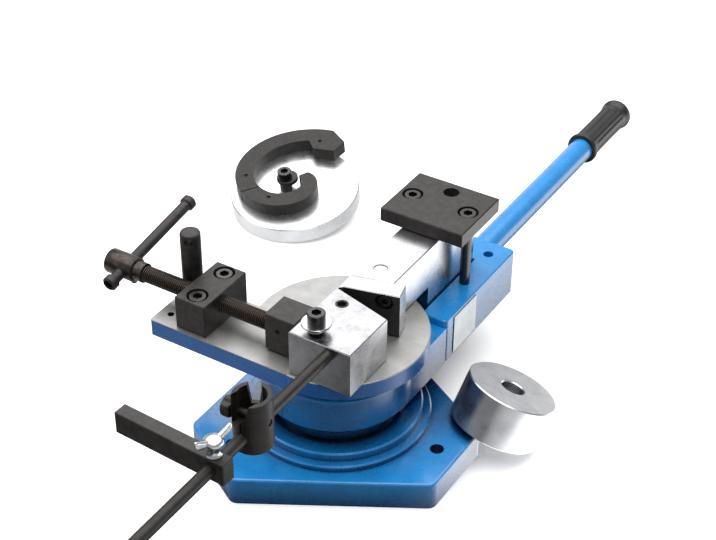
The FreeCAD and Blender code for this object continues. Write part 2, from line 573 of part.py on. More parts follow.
def block_spring():
    """The short coil spring under the block bolt's washer, one unbroken wire cut flat at both ends."""
    wire = value("spring_wire")
    radius = value("spring_radius")
    turns = value("spring_turns")
    pitch = value("spring_pitch")
    steps = int(math.ceil(turns * 4))
    angle = 2 * math.pi * turns / steps
    climb = pitch * turns / steps
    slope = pitch / (2 * math.pi)
    edges = []
    points = []
    for index in range(steps + 1):
        turn = angle * index
        point = V(radius * math.cos(turn), radius * math.sin(turn), climb * index)
        heading = V(-radius * math.sin(turn), radius * math.cos(turn), slope).normalize()
        points.append((point, heading))
    for (start, leaving), (finish, arriving) in zip(points, points[1:]):
        chord = finish - start
        both = leaving + arriving
        square = 2 * (1 - leaving.dot(arriving))
        along = chord.dot(both)
        reach = (math.sqrt(along ** 2 + square * chord.Length ** 2) - along) / square
        meeting = (start + leaving * reach + finish - arriving * reach) / 2
        edges.append(bent_edge(start, leaving, meeting))
        back = bent_edge(finish, arriving * -1, meeting)
        edges.append(back)
    path = Part.Wire(edges)
    section = Part.Wire(Part.makeCircle(wire / 2, points[0][0], points[0][1]))
    coil = path.makePipeShell([section], True, False)
    coil.translate(V(0, 0, wire * 0.4))
    length = value("spring_length")
    room = Part.makeCylinder(radius + wire, length)
    spring = doc.addObject("Part::Feature", "block_spring")
    spring.Shape = coil.common(room)
    place(spring, ("block_bolt_x", "block_bolt_y", "block_top"))
    print("block_spring: gap between turns", round(pitch - wire, 2))
    node("block_spring", spring)



def lever_casting():
    """The painted casting of the lever: a drum round the kingpin and a slotted arm."""
    drum = turned("drum", [("0", "hub_bottom"), ("hub_neck_radius", "hub_bottom"),
                           ("hub_neck_radius", "hub_bottom + hub_neck_height"),
                           ("hub_radius", "hub_bottom + hub_neck_height + hub_cone_height"),
                           ("hub_radius", "hub_top - 1.5"), ("hub_radius - 1.5", "hub_top"),
                           ("0", "hub_top")])
    right = "lever_left + lever_width"
    ledge = slab("ledge", [("lever_left", "0"), (right, "0"), (right, "ledge_end + 1"),
                           ("lever_left", "ledge_end + 1")], "hub_top - (lever_bottom)",
                 (0, 0, "lever_bottom"))
    arm = slab("lever_arm", [("lever_left", "ledge_end"), (right, "ledge_end"), (right, "lever_end"),
                             ("lever_left", "lever_end")], "lever_height", (0, 0, "lever_bottom"),
               corner="lever_corner_radius", edge="1", both=True)
    body = fuse("lever_body", drum, ledge, arm)
    slot = brick("slot", "slot_width", "slot_end - ledge_end + 1", "slot_depth + 1",
                 ("slot_left", "ledge_end - 1", "slot_floor"))
    bore = cylinder("bush_hole", "kingpin_radius + bush_wall", "hub_height", (0, 0, "hub_bottom"))
    socket = cylinder("tube_socket", "tube_radius + running_gap", "lever_end - tube_start + 1",
                      ("lever_centre", "tube_start", "tube_height"), "y")
    clamp = cylinder("tube_screw_hole", "tube_screw_radius", "lever_centre - (lever_left)",
                     ("lever_left", "tube_screw_y", "tube_height"), "x")
    holes = [slot, bore, socket, clamp]
    for side in (-1, 1):
        holes.append(cylinder("rail_hole", "rail_hole_radius", "rail_hole_depth + 1",
                              (f"lever_centre + {side} * rail_hole_reach", "lever_end - rail_hole_inset",
                               "lever_top - rail_hole_depth")))
        holes.append(cylinder("plate_screw_thread", "m10_radius", "top_plate_screw_grip + 2",
                              (f"top_plate_x + {side} * top_plate_screw_reach", "top_plate_screw_y",
                               "lever_top - top_plate_screw_grip - 1")))
    for step in (0, 1):
        at = ("lever_centre", f"foot_screw_first + {step} * foot_screw_pitch",
              "lever_bottom + m12_head_height + 1")
        grip = "slot_floor - lever_bottom - m12_head_height - 1 + foot_screw_grip"
        holes.append(counterbore("foot_screw_seat", "m12", grip, "m12_head_height + 2", at, "-z",
                                 "hole_gap"))
    node("lever_casting", cut("lever_casting", body, *holes))
    node("hub_bush", ring("hub_bush", "kingpin_radius + running_gap", "kingpin_radius + bush_wall",
                          "hub_height - 2 * bush_inset", (0, 0, "hub_bottom + bush_inset")))


def along_face(along, depth):
    """A point given along the bending face and behind it."""
    across = f"({along}) * cos(face_angle) - ({depth}) * sin(face_angle)"
    up = f"({along}) * sin(face_angle) + ({depth}) * cos(face_angle)"
    return across, up


def bending_bar():
    """The silver bar over the table, its foot in the slot, its front plate, pin and screws."""
    back = "face_offset + face_plate_thickness"
    left_seam = ("bar_left", f"({back}) / cos(face_angle) + bar_left * tan(face_angle)")
    right_seam = ("bar_right", f"({back}) / cos(face_angle) + (bar_right) * tan(face_angle)")
    beam = slab("beam", [left_seam, right_seam, ("bar_right", "bar_end"), ("bar_left", "bar_end")],
                "bar_height", (0, 0, "bar_bottom"), edge="bar_edge", both=True)
    foot = brick("bar_foot", "bar_width", "bar_end - bar_foot_start", "bar_bottom - slot_floor + 2",
                 ("bar_left", "bar_foot_start", "slot_floor"))
    holes = [cylinder("bar_pin_hole", "bar_pin_radius", "bar_height + 1",
                      ("bar_pin_x", "bar_pin_y", "bar_bottom - 0.5"))]
    screws = []
    for step in (0, 1):
        at = ("lever_centre", f"foot_screw_first + {step} * foot_screw_pitch",
              "lever_bottom + m12_head_height + 1")
        grip = "slot_floor - lever_bottom - m12_head_height - 1 + foot_screw_grip"
        holes.append(cylinder("foot_screw_thread", "m12_radius", "foot_screw_grip + 2",
                              at[:2] + ("slot_floor",)))
        screws.append(cap_screw("foot_screw", "m12", grip, at, "-z"))
    front = slab("face_blank", [along_face("face_start", "face_offset"),
                                along_face("face_end", "face_offset"), along_face("face_end", back),
                                left_seam, ("nose_x", "nose_y")],
                 "bar_height", (0, 0, "bar_bottom"), edge="bar_edge", both=True)
    seats = []
    face_screws = []
    for along in ("face_screw_a", "face_screw_b"):
        x, y = along_face(along, "face_offset + face_counterbore")
        z = f"bar_top - {along}_drop"
        grip = "face_plate_thickness - face_counterbore + face_screw_grip"
        seat = counterbore("face_screw_seat", "m8", grip, "face_counterbore + 1", (0, 0, 0), "z")
        screw = cap_screw("face_screw", "m8", grip, (0, 0, 0))
        for thing in (seat, screw):
            thing.Placement.Rotation = TURNS["-y"]
        holder = group("face_screw_seat_turned", seat)
        lean(holder, "face_angle", V(0, 0, 1), (x, y, z))
        seats.append(holder)
        face_screws.append(lean(group("face_screw_turned", screw), "face_angle", V(0, 0, 1), (x, y, z)))
        drilled = cylinder("face_screw_thread", "m8_radius", f"({grip}) + 2", (0, 0, 0), "y")
        holes.append(lean(group("face_thread_turned", drilled), "face_angle", V(0, 0, 1), (x, y, z)))
    node("bending_bar", cut("bending_bar", fuse("bar_blank", beam, foot), *holes))
    node("bar_foot_screws", group("bar_foot_screws", *screws))
    node("bending_face", cut("bending_face", front, *seats))
    node("face_screws", group("face_screws", *face_screws))
    node("bar_pin", turned("bar_pin", [("0", "0"), ("bar_pin_radius", "0"),
                                       ("bar_pin_radius", "bar_height - bar_pin_sink - 0.6"),
                                       ("bar_pin_radius - 0.6", "bar_height - bar_pin_sink"),
                                       ("0", "bar_height - bar_pin_sink")],
                           ("bar_pin_x", "bar_pin_y", "bar_bottom")))


def top_plate():
    """The black plate over the bar and the two long screws that hold it down."""
    left = "top_plate_x - top_plate_width / 2"
    right = "top_plate_x + top_plate_width / 2"
    blank = slab("top_plate_blank", [(left, "top_plate_start"), (right, "top_plate_start"),
                                     (right, "bar_end"), (left, "bar_end")], "top_plate_thickness",
                 (0, 0, "top_plate_bottom"), corner="top_plate_edge", edge="top_plate_edge", both=True)
    holes = [cylinder("top_plate_hole", "top_plate_hole_radius", "top_plate_thickness",
                      ("top_plate_x", "top_plate_hole_y", "top_plate_bottom"))]
    screws = []
    seat = "top_plate_top - m10_head_height - sunk"
    for side in (-1, 1):
        at = (f"top_plate_x + {side} * top_plate_screw_reach", "top_plate_screw_y", seat)
        grip = f"{seat} - (lever_top) + top_plate_screw_grip"
        holes.append(counterbore("plate_screw_seat", "m10", grip, "m10_head_height + 1", at))
        screws.append(cap_screw("plate_screw", "m10", grip, at))
    node("top_plate", cut("top_plate", blank, *holes))
    node("plate_screws", group("plate_screws", *screws))


def handle():
    """The tube in the lever's end, the screw that clamps it, the grip and the blank side plate."""
    bore = "tube_radius - tube_wall"
    tube = ring("lever_tube", bore, "tube_radius", "tube_end - tube_start",
                ("lever_centre", "tube_start", "tube_height"), "y", "0.8")
    node("lever_tube", tube)
    length = "lever_centre - tube_radius - (lever_left)"
    node("tube_set_screw", set_screw("tube_set_screw", "tube_screw_radius", length, "tube_screw_socket",
                                     ("lever_left", "tube_screw_y", "tube_height"), "-x"))
    long = "grip_end - grip_start"
    outer = "grip_radius"
    hull = turned("grip_blank", [("0", "0"), ("grip_radius + grip_lip - 1", "0"),
                                 ("grip_radius + grip_lip", "1"),
                                 ("grip_radius + grip_lip", "grip_lip_length - 1"),
                                 (outer, "grip_lip_length + 1"),
                                 (outer, f"{long} - grip_flange_length"),
                                 ("grip_radius + grip_flange", f"{long} - grip_flange_length + 2"),
                                 ("grip_radius + grip_flange", f"{long} - 3"),
                                 ("grip_radius + grip_flange - 3", long), ("0", long)],
                  ("lever_centre", "grip_start", "tube_height"), "y")
    cuts = [cylinder("grip_bore", "tube_radius + running_gap", "tube_end - grip_start + running_gap",
                     ("lever_centre", "grip_start", "tube_height"), "y")]
    for index in range(SIZES["grip_flutes"]):
        turn = f"360 * {index} / grip_flutes"
        reach = "(grip_radius + grip_flute_radius - grip_flute_depth)"
        cuts.append(cylinder("flute", "grip_flute_radius",
                             f"{long} - grip_lip_length - grip_flange_length - 8",
                             (f"lever_centre + {reach} * cos({turn})", "grip_start + grip_lip_length + 4",
                              f"tube_height + {reach} * sin({turn})"), "y"))
    node("lever_grip", cut("lever_grip", hull, *cuts))
    plate = block("side_plate", "label_thickness", "label_width", "label_height",
                  ("lever_left + lever_width", "label_start",
                   "lever_top - label_drop - label_height"))
    node("side_plate", plate)


def nut_block():
    """The black block that the clamping screw turns in, with its two screws."""
    blank = block("nut_block_blank", "nut_block_width", "nut_block_length", "nut_block_height",
                  ("nut_block_x", "nut_block_y", "table_top"), "nut_block_edge")
    holes = [cylinder("nut_bore", "screw_radius + screw_gap", "nut_block_width",
                      ("nut_block_x", "screw_axis_y", "screw_z"), "x")]
    screws = []
    seat = "table_top + nut_block_height - nut_counterbore"
    for inset in ("nut_screw_a_inset", "nut_screw_b_inset"):
        at = ("nut_block_x + nut_block_width / 2", "nut_block_y + " + inset, seat)
        grip = "nut_block_height - nut_counterbore + nut_screw_grip"
        holes.append(counterbore("nut_screw_seat", "m10", grip, "nut_counterbore + 1", at))
        screws.append(cap_screw("nut_screw", "m10", grip, at))
    node("nut_block", cut("nut_block", blank, *holes))
    node("nut_block_screws", group("nut_block_screws", *screws))


def clamping_screw():
    """The threaded spindle: head, collar, ringed thread and a grooved journal inside the jaw."""
    start = value("screw_thread_start")
    finish = value("jaw_x") - value("flat_gap")
    crest = value("screw_radius")
    root = crest - value("screw_thread_depth")
    pitch = value("screw_pitch")
    head_start = value("screw_head_start")
    head_end = head_start + value("screw_head_length")
    head = value("screw_head_radius")
    edge = value("head_edge")
    collar = value("screw_collar_radius")
    journal = value("journal_radius")
    groove = value("groove_radius")
    groove_start = value("jaw_pin_x") - value("groove_width") / 2
    groove_end = groove_start + value("groove_width")
    tip = value("jaw_x") + value("journal_length")
    profile = [(head_start, 0), (head_start, head - edge), (head_start + edge, head),
               (head_end - edge, head), (head_end, head - edge), (head_end, collar), (start, collar)]
    threads = int((finish - start - pitch) / pitch)
    for index in range(threads):
        at = start + index * pitch
        profile += [(at, root), (at + pitch * 0.44, crest), (at + pitch * 0.56, crest)]
    profile += [(start + threads * pitch, root), (finish, root), (finish, journal),
                (groove_start, journal), (groove_start, groove), (groove_end, groove),
                (groove_end, journal), (tip - 1, journal), (tip, journal - 1), (tip, 0)]
    points = []
    for along, radius in profile:
        point = V(along, 0, radius)
        if not points or (point - points[-1]).Length > 1e-6:
            points.append(point)
    face = Part.Face(Part.makePolygon(points + points[:1]))
    blank = doc.addObject("Part::Feature", "spindle_blank")
    blank.Shape = face.revolve(V(0, 0, 0), V(1, 0, 0), 360)
    place(blank, ("0", "screw_axis_y", "screw_z"))
    cross = cylinder("tbar_hole", "tbar_radius + running_gap", "screw_head_radius * 2 + 4",
                     (0, 0, "-screw_head_radius - 2"))
    crossed = lean(group("tbar_hole_turned", cross), "tbar_tilt - 90", V(1, 0, 0),
                   ("tbar_x", "screw_axis_y", "screw_z"))
    grub = cylinder("grub_hole", "grub_radius", "grub_length - grub_stand + 0.5",
                    ("screw_head_start + grub_inset", "screw_axis_y",
                     "screw_z - screw_head_radius - 0.5"))
    node("clamping_screw", cut("clamping_screw", blank, crossed, grub))
    node("head_grub_screw", set_screw("head_grub_screw", "grub_radius", "grub_length", "grub_socket",
                                      ("screw_head_start + grub_inset", "screw_axis_y",
                                       "screw_z - screw_head_radius - grub_stand"), "-z"))
    bar = cylinder("tbar_rod", "tbar_radius", "tbar_up + tbar_down", (0, 0, "-tbar_down"))
    knobs = []
    for place_along in ("-tbar_down", "tbar_up"):
        profile = [("tbar_radius", "-knob_length / 2"), ("knob_radius - knob_edge", "-knob_length / 2"),
                   ("knob_radius", "-knob_length / 2 + knob_edge"),
                   ("knob_radius", "knob_length / 2 - knob_edge"),
                   ("knob_radius - knob_edge", "knob_length / 2"), ("tbar_radius", "knob_length / 2")]
        knobs.append(turned("tbar_knob", profile, ("0", "0", place_along)))
    for name, pieces in (("tbar", [bar]), ("tbar_knobs", knobs)):
        node(name, lean(group(name, *pieces), "tbar_tilt - 90", V(1, 0, 0),
                        ("tbar_x", "screw_axis_y", "screw_z")))


def clamp_jaw():
    """The black jaw that the screw pushes along the table, and the pin that keeps it on."""
    blank = block("jaw_blank", "jaw_thickness", "jaw_width", "jaw_height",
                  ("jaw_x", "jaw_front", "jaw_bottom"), "jaw_edge")
    bore = cylinder("journal_hole", "journal_radius + running_gap", "journal_length + journal_end_gap",
                    ("jaw_x", "screw_axis_y", "screw_z"), "x")
    pin_hole = cylinder("jaw_pin_hole", "jaw_pin_radius", "jaw_width",
                        ("jaw_pin_x", "jaw_front", "jaw_pin_z"), "y")
    node("clamp_jaw", cut("clamp_jaw", blank, bore, pin_hole))
    node("jaw_pin", turned("jaw_pin", [("0", "0"), ("jaw_pin_radius - 0.4", "0"),
                                       ("jaw_pin_radius", "0.4"), ("jaw_pin_radius", "jaw_width - 3"),
                                       ("0", "jaw_width - 3")],
                           ("jaw_pin_x", "jaw_front + 1.5", "jaw_pin_z"), "y"))


def stop_post():
    """The round post on the arm, with a cross hole near its top and a spigot in the table."""
    profile = [("0", "-post_spigot_length"), ("post_spigot_radius - 0.8", "-post_spigot_length"),
               ("post_spigot_radius", "-post_spigot_length + 0.8"), ("post_spigot_radius", "0"),
               ("post_radius", "0"), ("post_radius", "post_height - post_edge"),
               ("post_radius - post_edge * 0.3", "post_height - post_edge * 0.3"),
               ("post_radius - post_edge", "post_height"), ("0", "post_height")]
    blank = turned("post_blank", profile, ("post_x", "post_y", "table_top"))
    hole = cylinder("post_cross_hole", "post_hole_radius", "post_radius * 2",
                    ("0", "-post_radius", "0"), "y")
    turned_hole = lean(group("post_hole_turned", hole), "post_hole_turn", V(0, 0, 1),
                       ("post_x", "post_y", "table_top + post_hole_height"))
    node("stop_post", cut("stop_post", blank, turned_hole))


def stop_rod():
    """The long rod out of the block's front, the bar stop on it and the bar's wing screw."""
    length = "-block_reach + rod_depth - rod_end"
    profile = [("0", "0"), ("rod_radius - rod_edge", "0"), ("rod_radius", "rod_edge"),
               ("rod_radius", f"{length} - rod_edge"), ("rod_radius - rod_edge", length), ("0", length)]
    node("stop_rod", turned("stop_rod", profile, ("rod_x", "rod_end", "rod_z"), "y"))

    blank = block("stop_bar_blank", "stop_bar_length", "stop_bar_width", "stop_bar_height",
                  ("-stop_bar_length + stop_bar_reach", "-stop_bar_width / 2", "-stop_bar_height / 2"),
                  "stop_bar_edge")
    turned_bar = lean(group("stop_bar_turned", blank), "stop_bar_skew", V(0, 0, 1),
                      ("rod_x", "stop_bar_y", "rod_z"))
    bore = cylinder("stop_bar_bore", "rod_radius + running_gap", "stop_bar_width * 2",
                    ("rod_x", "stop_bar_y - stop_bar_width", "rod_z"), "y")
    thread = cylinder("wing_thread", "wing_thread_radius + running_gap", "stop_bar_height / 2 + 1",
                      ("rod_x", "stop_bar_y", "rod_z"))
    node("stop_bar", cut("stop_bar", turned_bar, bore, thread))

    foot = "rod_radius + flat_gap"
    face = "stop_bar_height / 2 + flat_gap"
    top = f"({face}) + wing_stem_height"
    stem = turned("wing_stem", [("0", foot), ("wing_thread_radius", foot), ("wing_thread_radius", face),
                                ("wing_stem_radius", face), ("wing_stem_radius", top),
                                ("wing_hub_radius - 1.5", top), ("wing_hub_radius", f"{top} + 1.5"),
                                ("wing_hub_radius", f"{top} + wing_hub_height - 3"),
                                ("wing_hub_radius - 3", f"{top} + wing_hub_height - 0.8"),
                                ("0", f"{top} + wing_hub_height")])
    wings = []
    for side in (0, 180):
        wing = brick("wing", "wing_reach", "wing_thickness", "wing_width",
                     (0, "-wing_thickness / 2", "0"))
        raised = lean(group("wing_raised", wing), "-wing_lean", V(0, 1, 0), (0, 0, f"{top} - 1"))
        turned_wing = lean(group("wing_turned", raised), f"wing_turn + {side}", V(0, 0, 1), (0, 0, 0))
        wings.append(turned_wing)
    node("wing_screw", place(fuse("wing_screw", stem, *wings), ("rod_x", "stop_bar_y", "rod_z")))


def rest_notch(heading, corners, depth):
    """A tool that cuts a notch, drawn as seen from outside, through the rest's wall at a heading."""
    body = doc.addObject("PartDesign::Body", "notch")
    pad = body.newObject("PartDesign::Pad", "notch_pad")
    pad.Profile = outline(body, "XZ_Plane", corners)
    bind(pad, Length="rest_radius + 2")
    return lean(body, f"{heading} + 90", V(0, 0, 1), ("rod_x", "rest_y", f"rest_top - {depth}"))


def notched_rest():
    """The black tube that rides on the rod, open and notched at the top, with a pinch screw."""
    floor = "rest_height - rest_cup_depth"
    profile = [("0", "0"), ("rest_radius - 1", "0"), ("rest_radius", "1"),
               ("rest_radius", "rest_height - 0.6"), ("rest_radius - 0.6", "rest_height"),
               ("rest_bore_radius", "rest_height"), ("rest_bore_radius", floor), ("0", floor)]
    blank = turned("rest_blank", profile, ("rod_x", "rest_y", "rest_bottom"))
    back = [("-back_notch_root / 2", "0"), ("back_notch_root / 2", "0"),
            ("back_notch_top / 2", "back_notch_depth"), ("back_notch_top / 2", "back_notch_depth + 2"),
            ("-back_notch_top / 2", "back_notch_depth + 2"), ("-back_notch_top / 2", "back_notch_depth")]
    front = [("-front_notch_root", "0"), ("front_notch_floor - front_notch_root", "0"),
             ("front_notch_shoulder", "front_notch_step"), ("front_notch_top / 2", "rest_cup_depth"),
             ("front_notch_top / 2", "rest_cup_depth + 2"),
             ("-front_notch_top / 2", "rest_cup_depth + 2"), ("-front_notch_top / 2", "rest_cup_depth")]
    tools = [rest_notch("back_notch_heading", back, "back_notch_depth"),
             rest_notch("front_notch_heading", front, "rest_cup_depth")]
    tools.append(cylinder("rest_rod_bore", "rod_radius + running_gap", "rest_radius * 2 + 2",
                          ("rod_x", "rest_y - rest_radius - 1", "rod_z"), "y"))
    tools.append(brick("rest_slit_tool", "rest_slit", "rest_radius * 2 + 2", "rest_height",
                       ("rod_x - rest_slit / 2", "rest_y - rest_radius - 1", "rod_z")))
    tools.append(cylinder("pinch_hole", "pinch_radius + running_gap", "rest_radius * 2 + 2",
                          ("rod_x - rest_radius - 1", "rest_y", "pinch_z"), "x"))
    node("notched_rest", cut("notched_rest", blank, *tools))

    reach = "rest_radius + pinch_knob_gap"
    far_end = f"{reach} + rest_radius - 1"
    profile = [("0", "-pinch_knob_length"), ("pinch_knob_radius - 1.2", "-pinch_knob_length"),
               ("pinch_knob_radius", "-pinch_knob_length + 1.2"), ("pinch_knob_radius", "-1.2"),
               ("pinch_knob_radius - 1.2", "0"), ("pinch_radius", "0"), ("pinch_radius", far_end),
               ("0", far_end)]
    knob = turned("pinch_blank", profile)
    flutes = []
    for index in range(SIZES["pinch_flutes"]):
        turn = f"360 * {index} / pinch_flutes"
        far = "(pinch_knob_radius + pinch_flute_radius * 0.6)"
        at = (f"{far} * cos({turn})", f"{far} * sin({turn})", "-pinch_knob_length - 1")
        flutes.append(cylinder("pinch_flute", "pinch_flute_radius", "pinch_knob_length + 2", at))
    node("pinch_knob", place(cut("pinch_knob", knob, *flutes),
                             (f"rod_x - ({reach})", "rest_y", "pinch_z"), "x"))


def scroll_frame(thing):
    """Moves a piece drawn on the scroll plate's own top face to its place on the floor."""
    return lean(thing, "scroll_tilt", V(1, 0, 0), ("scroll_x", "scroll_y", "scroll_z"))


def spiral_point(heading, inset):
    """A point of the former's outer spiral, or one inset from it towards the middle."""
    radius = value("spiral_radius") - value("spiral_fall") * (heading - value("spiral_turn"))
    radius -= min(inset, radius * value("inner_former_share"))
    turn = math.radians(heading)
    return V(radius * math.cos(turn), radius * math.sin(turn), 0)


def spiral_edge(first, last, inset):
    """A smooth curve along the spiral between two headings."""
    count = max(3, round(abs(last - first) / 15))
    headings = [first + (last - first) * index / count for index in range(count + 1)]
    curve = Part.BSplineCurve()
    curve.interpolate([spiral_point(heading, inset) for heading in headings])
    return curve.toShape()


def former_part(name, first, heel, last, tip, holes):
    """One half of the spiral former: a curved bar between two spirals, with small screws through it."""
    width = value("former_width")
    edges = [spiral_edge(value(first), value(last), 0)]
    end = Part.LineSegment(spiral_point(value(last), 0), spiral_point(value(last), width))
    edges.append(end.toShape())
    edges.append(spiral_edge(value(last), value(heel), width))
    stops = [spiral_point(value(heel), width)] + [V(value(x), value(y), 0) for x, y in tip]
    stops.append(spiral_point(value(first), 0))
    edges += [Part.LineSegment(start, finish).toShape() for start, finish in zip(stops, stops[1:])]
    blank = doc.addObject("Part::Feature", name + "_blank")
    blank.Shape = Part.Face(Part.Wire(edges)).extrude(V(0, 0, value("former_height")))
    tools = [cylinder(name + "_clearance", "eccentric_clearance", "former_height + 2",
                      ("eccentric_x", "eccentric_y", "-1"))]
    for across, up in holes:
        tools.append(cylinder(name + "_hole", "former_hole_radius", "former_height + 2",
                              (across, up, "-1")))
    node(name, scroll_frame(cut(name, blank, *tools)))


def scroll_set():
    """The loose scroll set: plate, two-part spiral former, eccentric pin, screws and locating pins."""
    plate = turned("scroll_blank", [("0", "-scroll_thickness"),
                                    ("scroll_radius - scroll_bevel", "-scroll_thickness"),
                                    ("scroll_radius", "-scroll_thickness + scroll_bevel"),
                                    ("scroll_radius", "-scroll_bevel"),
                                    ("scroll_radius - scroll_bevel", "0"), ("0", "0")])
    middle = ("eccentric_x", "eccentric_y")
    holes = [cylinder("shank_hole", "shank_radius + running_gap", "shank_depth + flat_gap + 1",
                      middle + ("-shank_depth - flat_gap",))]
    screw_spots = [("former_screw_a_x", "former_screw_a_y"), ("former_screw_b_x", "former_screw_b_y"),
                   ("former_screw_c_x", "former_screw_c_y")]
    for spot in screw_spots:
        holes.append(cylinder("former_screw_thread", "former_hole_radius", "former_screw_depth",
                              spot + ("-former_screw_depth",)))
    pins = []
    for side in (-1, 1):
        at = (f"{side} * locating_pin_spread", "locating_pin_y",
              "-scroll_thickness - locating_pin_length")
        pins.append(cylinder("locating_pin", "locating_pin_radius",
                             "locating_pin_length + locating_pin_depth", at))
        holes.append(cylinder("locating_pin_hole", "locating_pin_radius", "locating_pin_depth",
                              at[:2] + ("-scroll_thickness",)))
    node("scroll_plate", scroll_frame(cut("scroll_plate", plate, *holes)))
    node("scroll_locating_pins", scroll_frame(group("scroll_locating_pins", *pins)))
    tip = [("heel_x", "heel_y"), ("tip_inner_x", "tip_inner_y"), ("tip_outer_x", "tip_outer_y")]
    former_part("outer_former", "outer_former_start", "outer_former_heel", "outer_former_end", tip,
                screw_spots[:2])
    former_part("inner_former", "inner_former_start", "inner_former_start", "inner_former_end", [],
                screw_spots[2:])
    screws = []
    face = "former_height - former_screw_sink"
    for spot in screw_spots:
        screws.append(set_screw("former_screw", "former_hole_radius", f"{face} + former_screw_depth",
                                "former_screw_socket", spot + (face,)))
    node("former_screws", scroll_frame(group("former_screws", *screws)))

    low = "former_height - eccentric_flange"
    shank = cylinder("eccentric_shank", "shank_radius", f"shank_depth + {low} + 1",
                     middle + ("-shank_depth",))
    flange = turned("eccentric_flange", [("0", "0"), ("eccentric_radius - 0.6", "0"),
                                         ("eccentric_radius", "0.6"),
                                         ("eccentric_radius", "eccentric_flange - 0.6"),
                                         ("eccentric_radius - 0.6", "eccentric_flange"),
                                         ("0", "eccentric_flange")],
                    ("eccentric_x + eccentric_throw_x", "eccentric_y + eccentric_throw_y", low))
    thread = cylinder("eccentric_thread", "m10_radius", "eccentric_flange + 9",
                      middle + ("former_height - eccentric_flange - 8",))
    blank = fuse("eccentric_blank", shank, flange)
    node("eccentric_pin", scroll_frame(cut("eccentric_pin", blank, thread)))
    screw = cap_screw("eccentric_cap_screw", "m10", "eccentric_flange + eccentric_screw_grip",
                      middle + ("former_height",))
    node("eccentric_screw", scroll_frame(group("eccentric_screw", screw)))


def former_roller():
    """The loose roller, which leans on the base's edge with its lower rim on the floor."""
    profile = [("roller_bore_radius + roller_edge", "0"), ("roller_radius - roller_edge", "0"),
               ("roller_radius", "roller_edge"), ("roller_radius", "roller_height - roller_edge"),
               ("roller_radius - roller_edge", "roller_height"),
               ("roller_bore_radius + roller_edge", "roller_height"),
               ("roller_bore_radius", "roller_height - roller_edge"), ("roller_bore_radius", "roller_edge")]
    drum = turned("roller_blank", profile)
    heading = value("roller_heading")
    axis = V(-math.sin(math.radians(heading)), math.cos(math.radians(heading)), 0)
    node("former_roller", lean(group("former_roller", drum), "roller_tilt", axis,
                               ("roller_x", "roller_y", "roller_z")))


base_plate()
kingpin()
thrust_washers()
table()
clamp_block()
block_spring()
lever_casting()
bending_bar()
top_plate()
handle()
nut_block()
clamping_screw()
clamp_jaw()
stop_post()
stop_rod()
notched_rest()
scroll_set()
former_roller()

doc.recompute()
bad = [thing.Name for thing in doc.Objects if "Invalid" in thing.State or "Error" in thing.State]
for name, thing in NODES.items():
    shape = thing.Shape
    if shape.isNull() or not shape.isValid():
        bad.append(name)
if bad:
    raise RuntimeError("these objects failed: " + ", ".join(bad))
os.makedirs("parts", exist_ok=True)
for name, thing in NODES.items():
    thing.Shape.exportStep(f"parts/{name}.step")
    box = thing.Shape.BoundBox
    ends = (box.XMin, box.YMin, box.ZMin, box.XMax, box.YMax, box.ZMax)
    corners = [round(number, 1) for number in ends]
    print(f"{name}: {len(thing.Shape.Solids)} solid, {thing.Shape.Volume / 1000:.1f} cm3, {corners}")
print(len(NODES), "nodes")
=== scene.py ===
# %% [markdown]
# A manual metal bender is dressed here. The machine's pieces come in from the CAD frame at their real
# size and place, and each gets the finish that its real surface has. A few pieces whose look is in a
# curved surface, such as a screw thread or a moulded grip, are made again as numpy surfaces.

# %% Load the frame
import math

import bmesh
import bpy
import numpy as np
from mathutils import Matrix, Vector


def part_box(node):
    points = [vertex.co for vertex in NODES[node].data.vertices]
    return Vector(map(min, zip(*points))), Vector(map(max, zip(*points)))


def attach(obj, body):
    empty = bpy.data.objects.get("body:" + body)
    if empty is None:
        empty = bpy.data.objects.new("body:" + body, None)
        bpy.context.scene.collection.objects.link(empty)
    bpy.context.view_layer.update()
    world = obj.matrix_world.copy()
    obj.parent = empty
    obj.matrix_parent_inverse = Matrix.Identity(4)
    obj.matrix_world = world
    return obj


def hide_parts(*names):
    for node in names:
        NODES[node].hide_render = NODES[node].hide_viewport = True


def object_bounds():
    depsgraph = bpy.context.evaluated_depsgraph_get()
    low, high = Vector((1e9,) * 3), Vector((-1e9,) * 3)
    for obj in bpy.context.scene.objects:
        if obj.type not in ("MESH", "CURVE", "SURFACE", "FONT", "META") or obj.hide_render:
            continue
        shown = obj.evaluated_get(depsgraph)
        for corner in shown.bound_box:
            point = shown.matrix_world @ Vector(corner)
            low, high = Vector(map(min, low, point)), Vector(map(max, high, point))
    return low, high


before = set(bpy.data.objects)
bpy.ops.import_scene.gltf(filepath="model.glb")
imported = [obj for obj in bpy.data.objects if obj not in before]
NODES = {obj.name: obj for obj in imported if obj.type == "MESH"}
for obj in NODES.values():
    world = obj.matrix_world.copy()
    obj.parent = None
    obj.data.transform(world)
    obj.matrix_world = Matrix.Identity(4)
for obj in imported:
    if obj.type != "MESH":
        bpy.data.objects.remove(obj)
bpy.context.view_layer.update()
MM = 0.001
print("the frame has", len(NODES), "pieces")

# %% [markdown]
# The camera stands at the photo's viewpoint: about 1.5 m away, above the machine's front right corner,
# with a long lens. Its heading, pitch and tiny roll were solved from the machine's own edges.

# %% Camera
EYE = Vector((0.6125, -0.9575, 0.9962))
LOOK = Vector((-0.4275, 0.6930, -0.5804)).normalized()
ROLL = math.radians(0.40)
LENS_MM = 80.13
SENSOR_MM = 36.0
FARTHEST_SEEN = 20


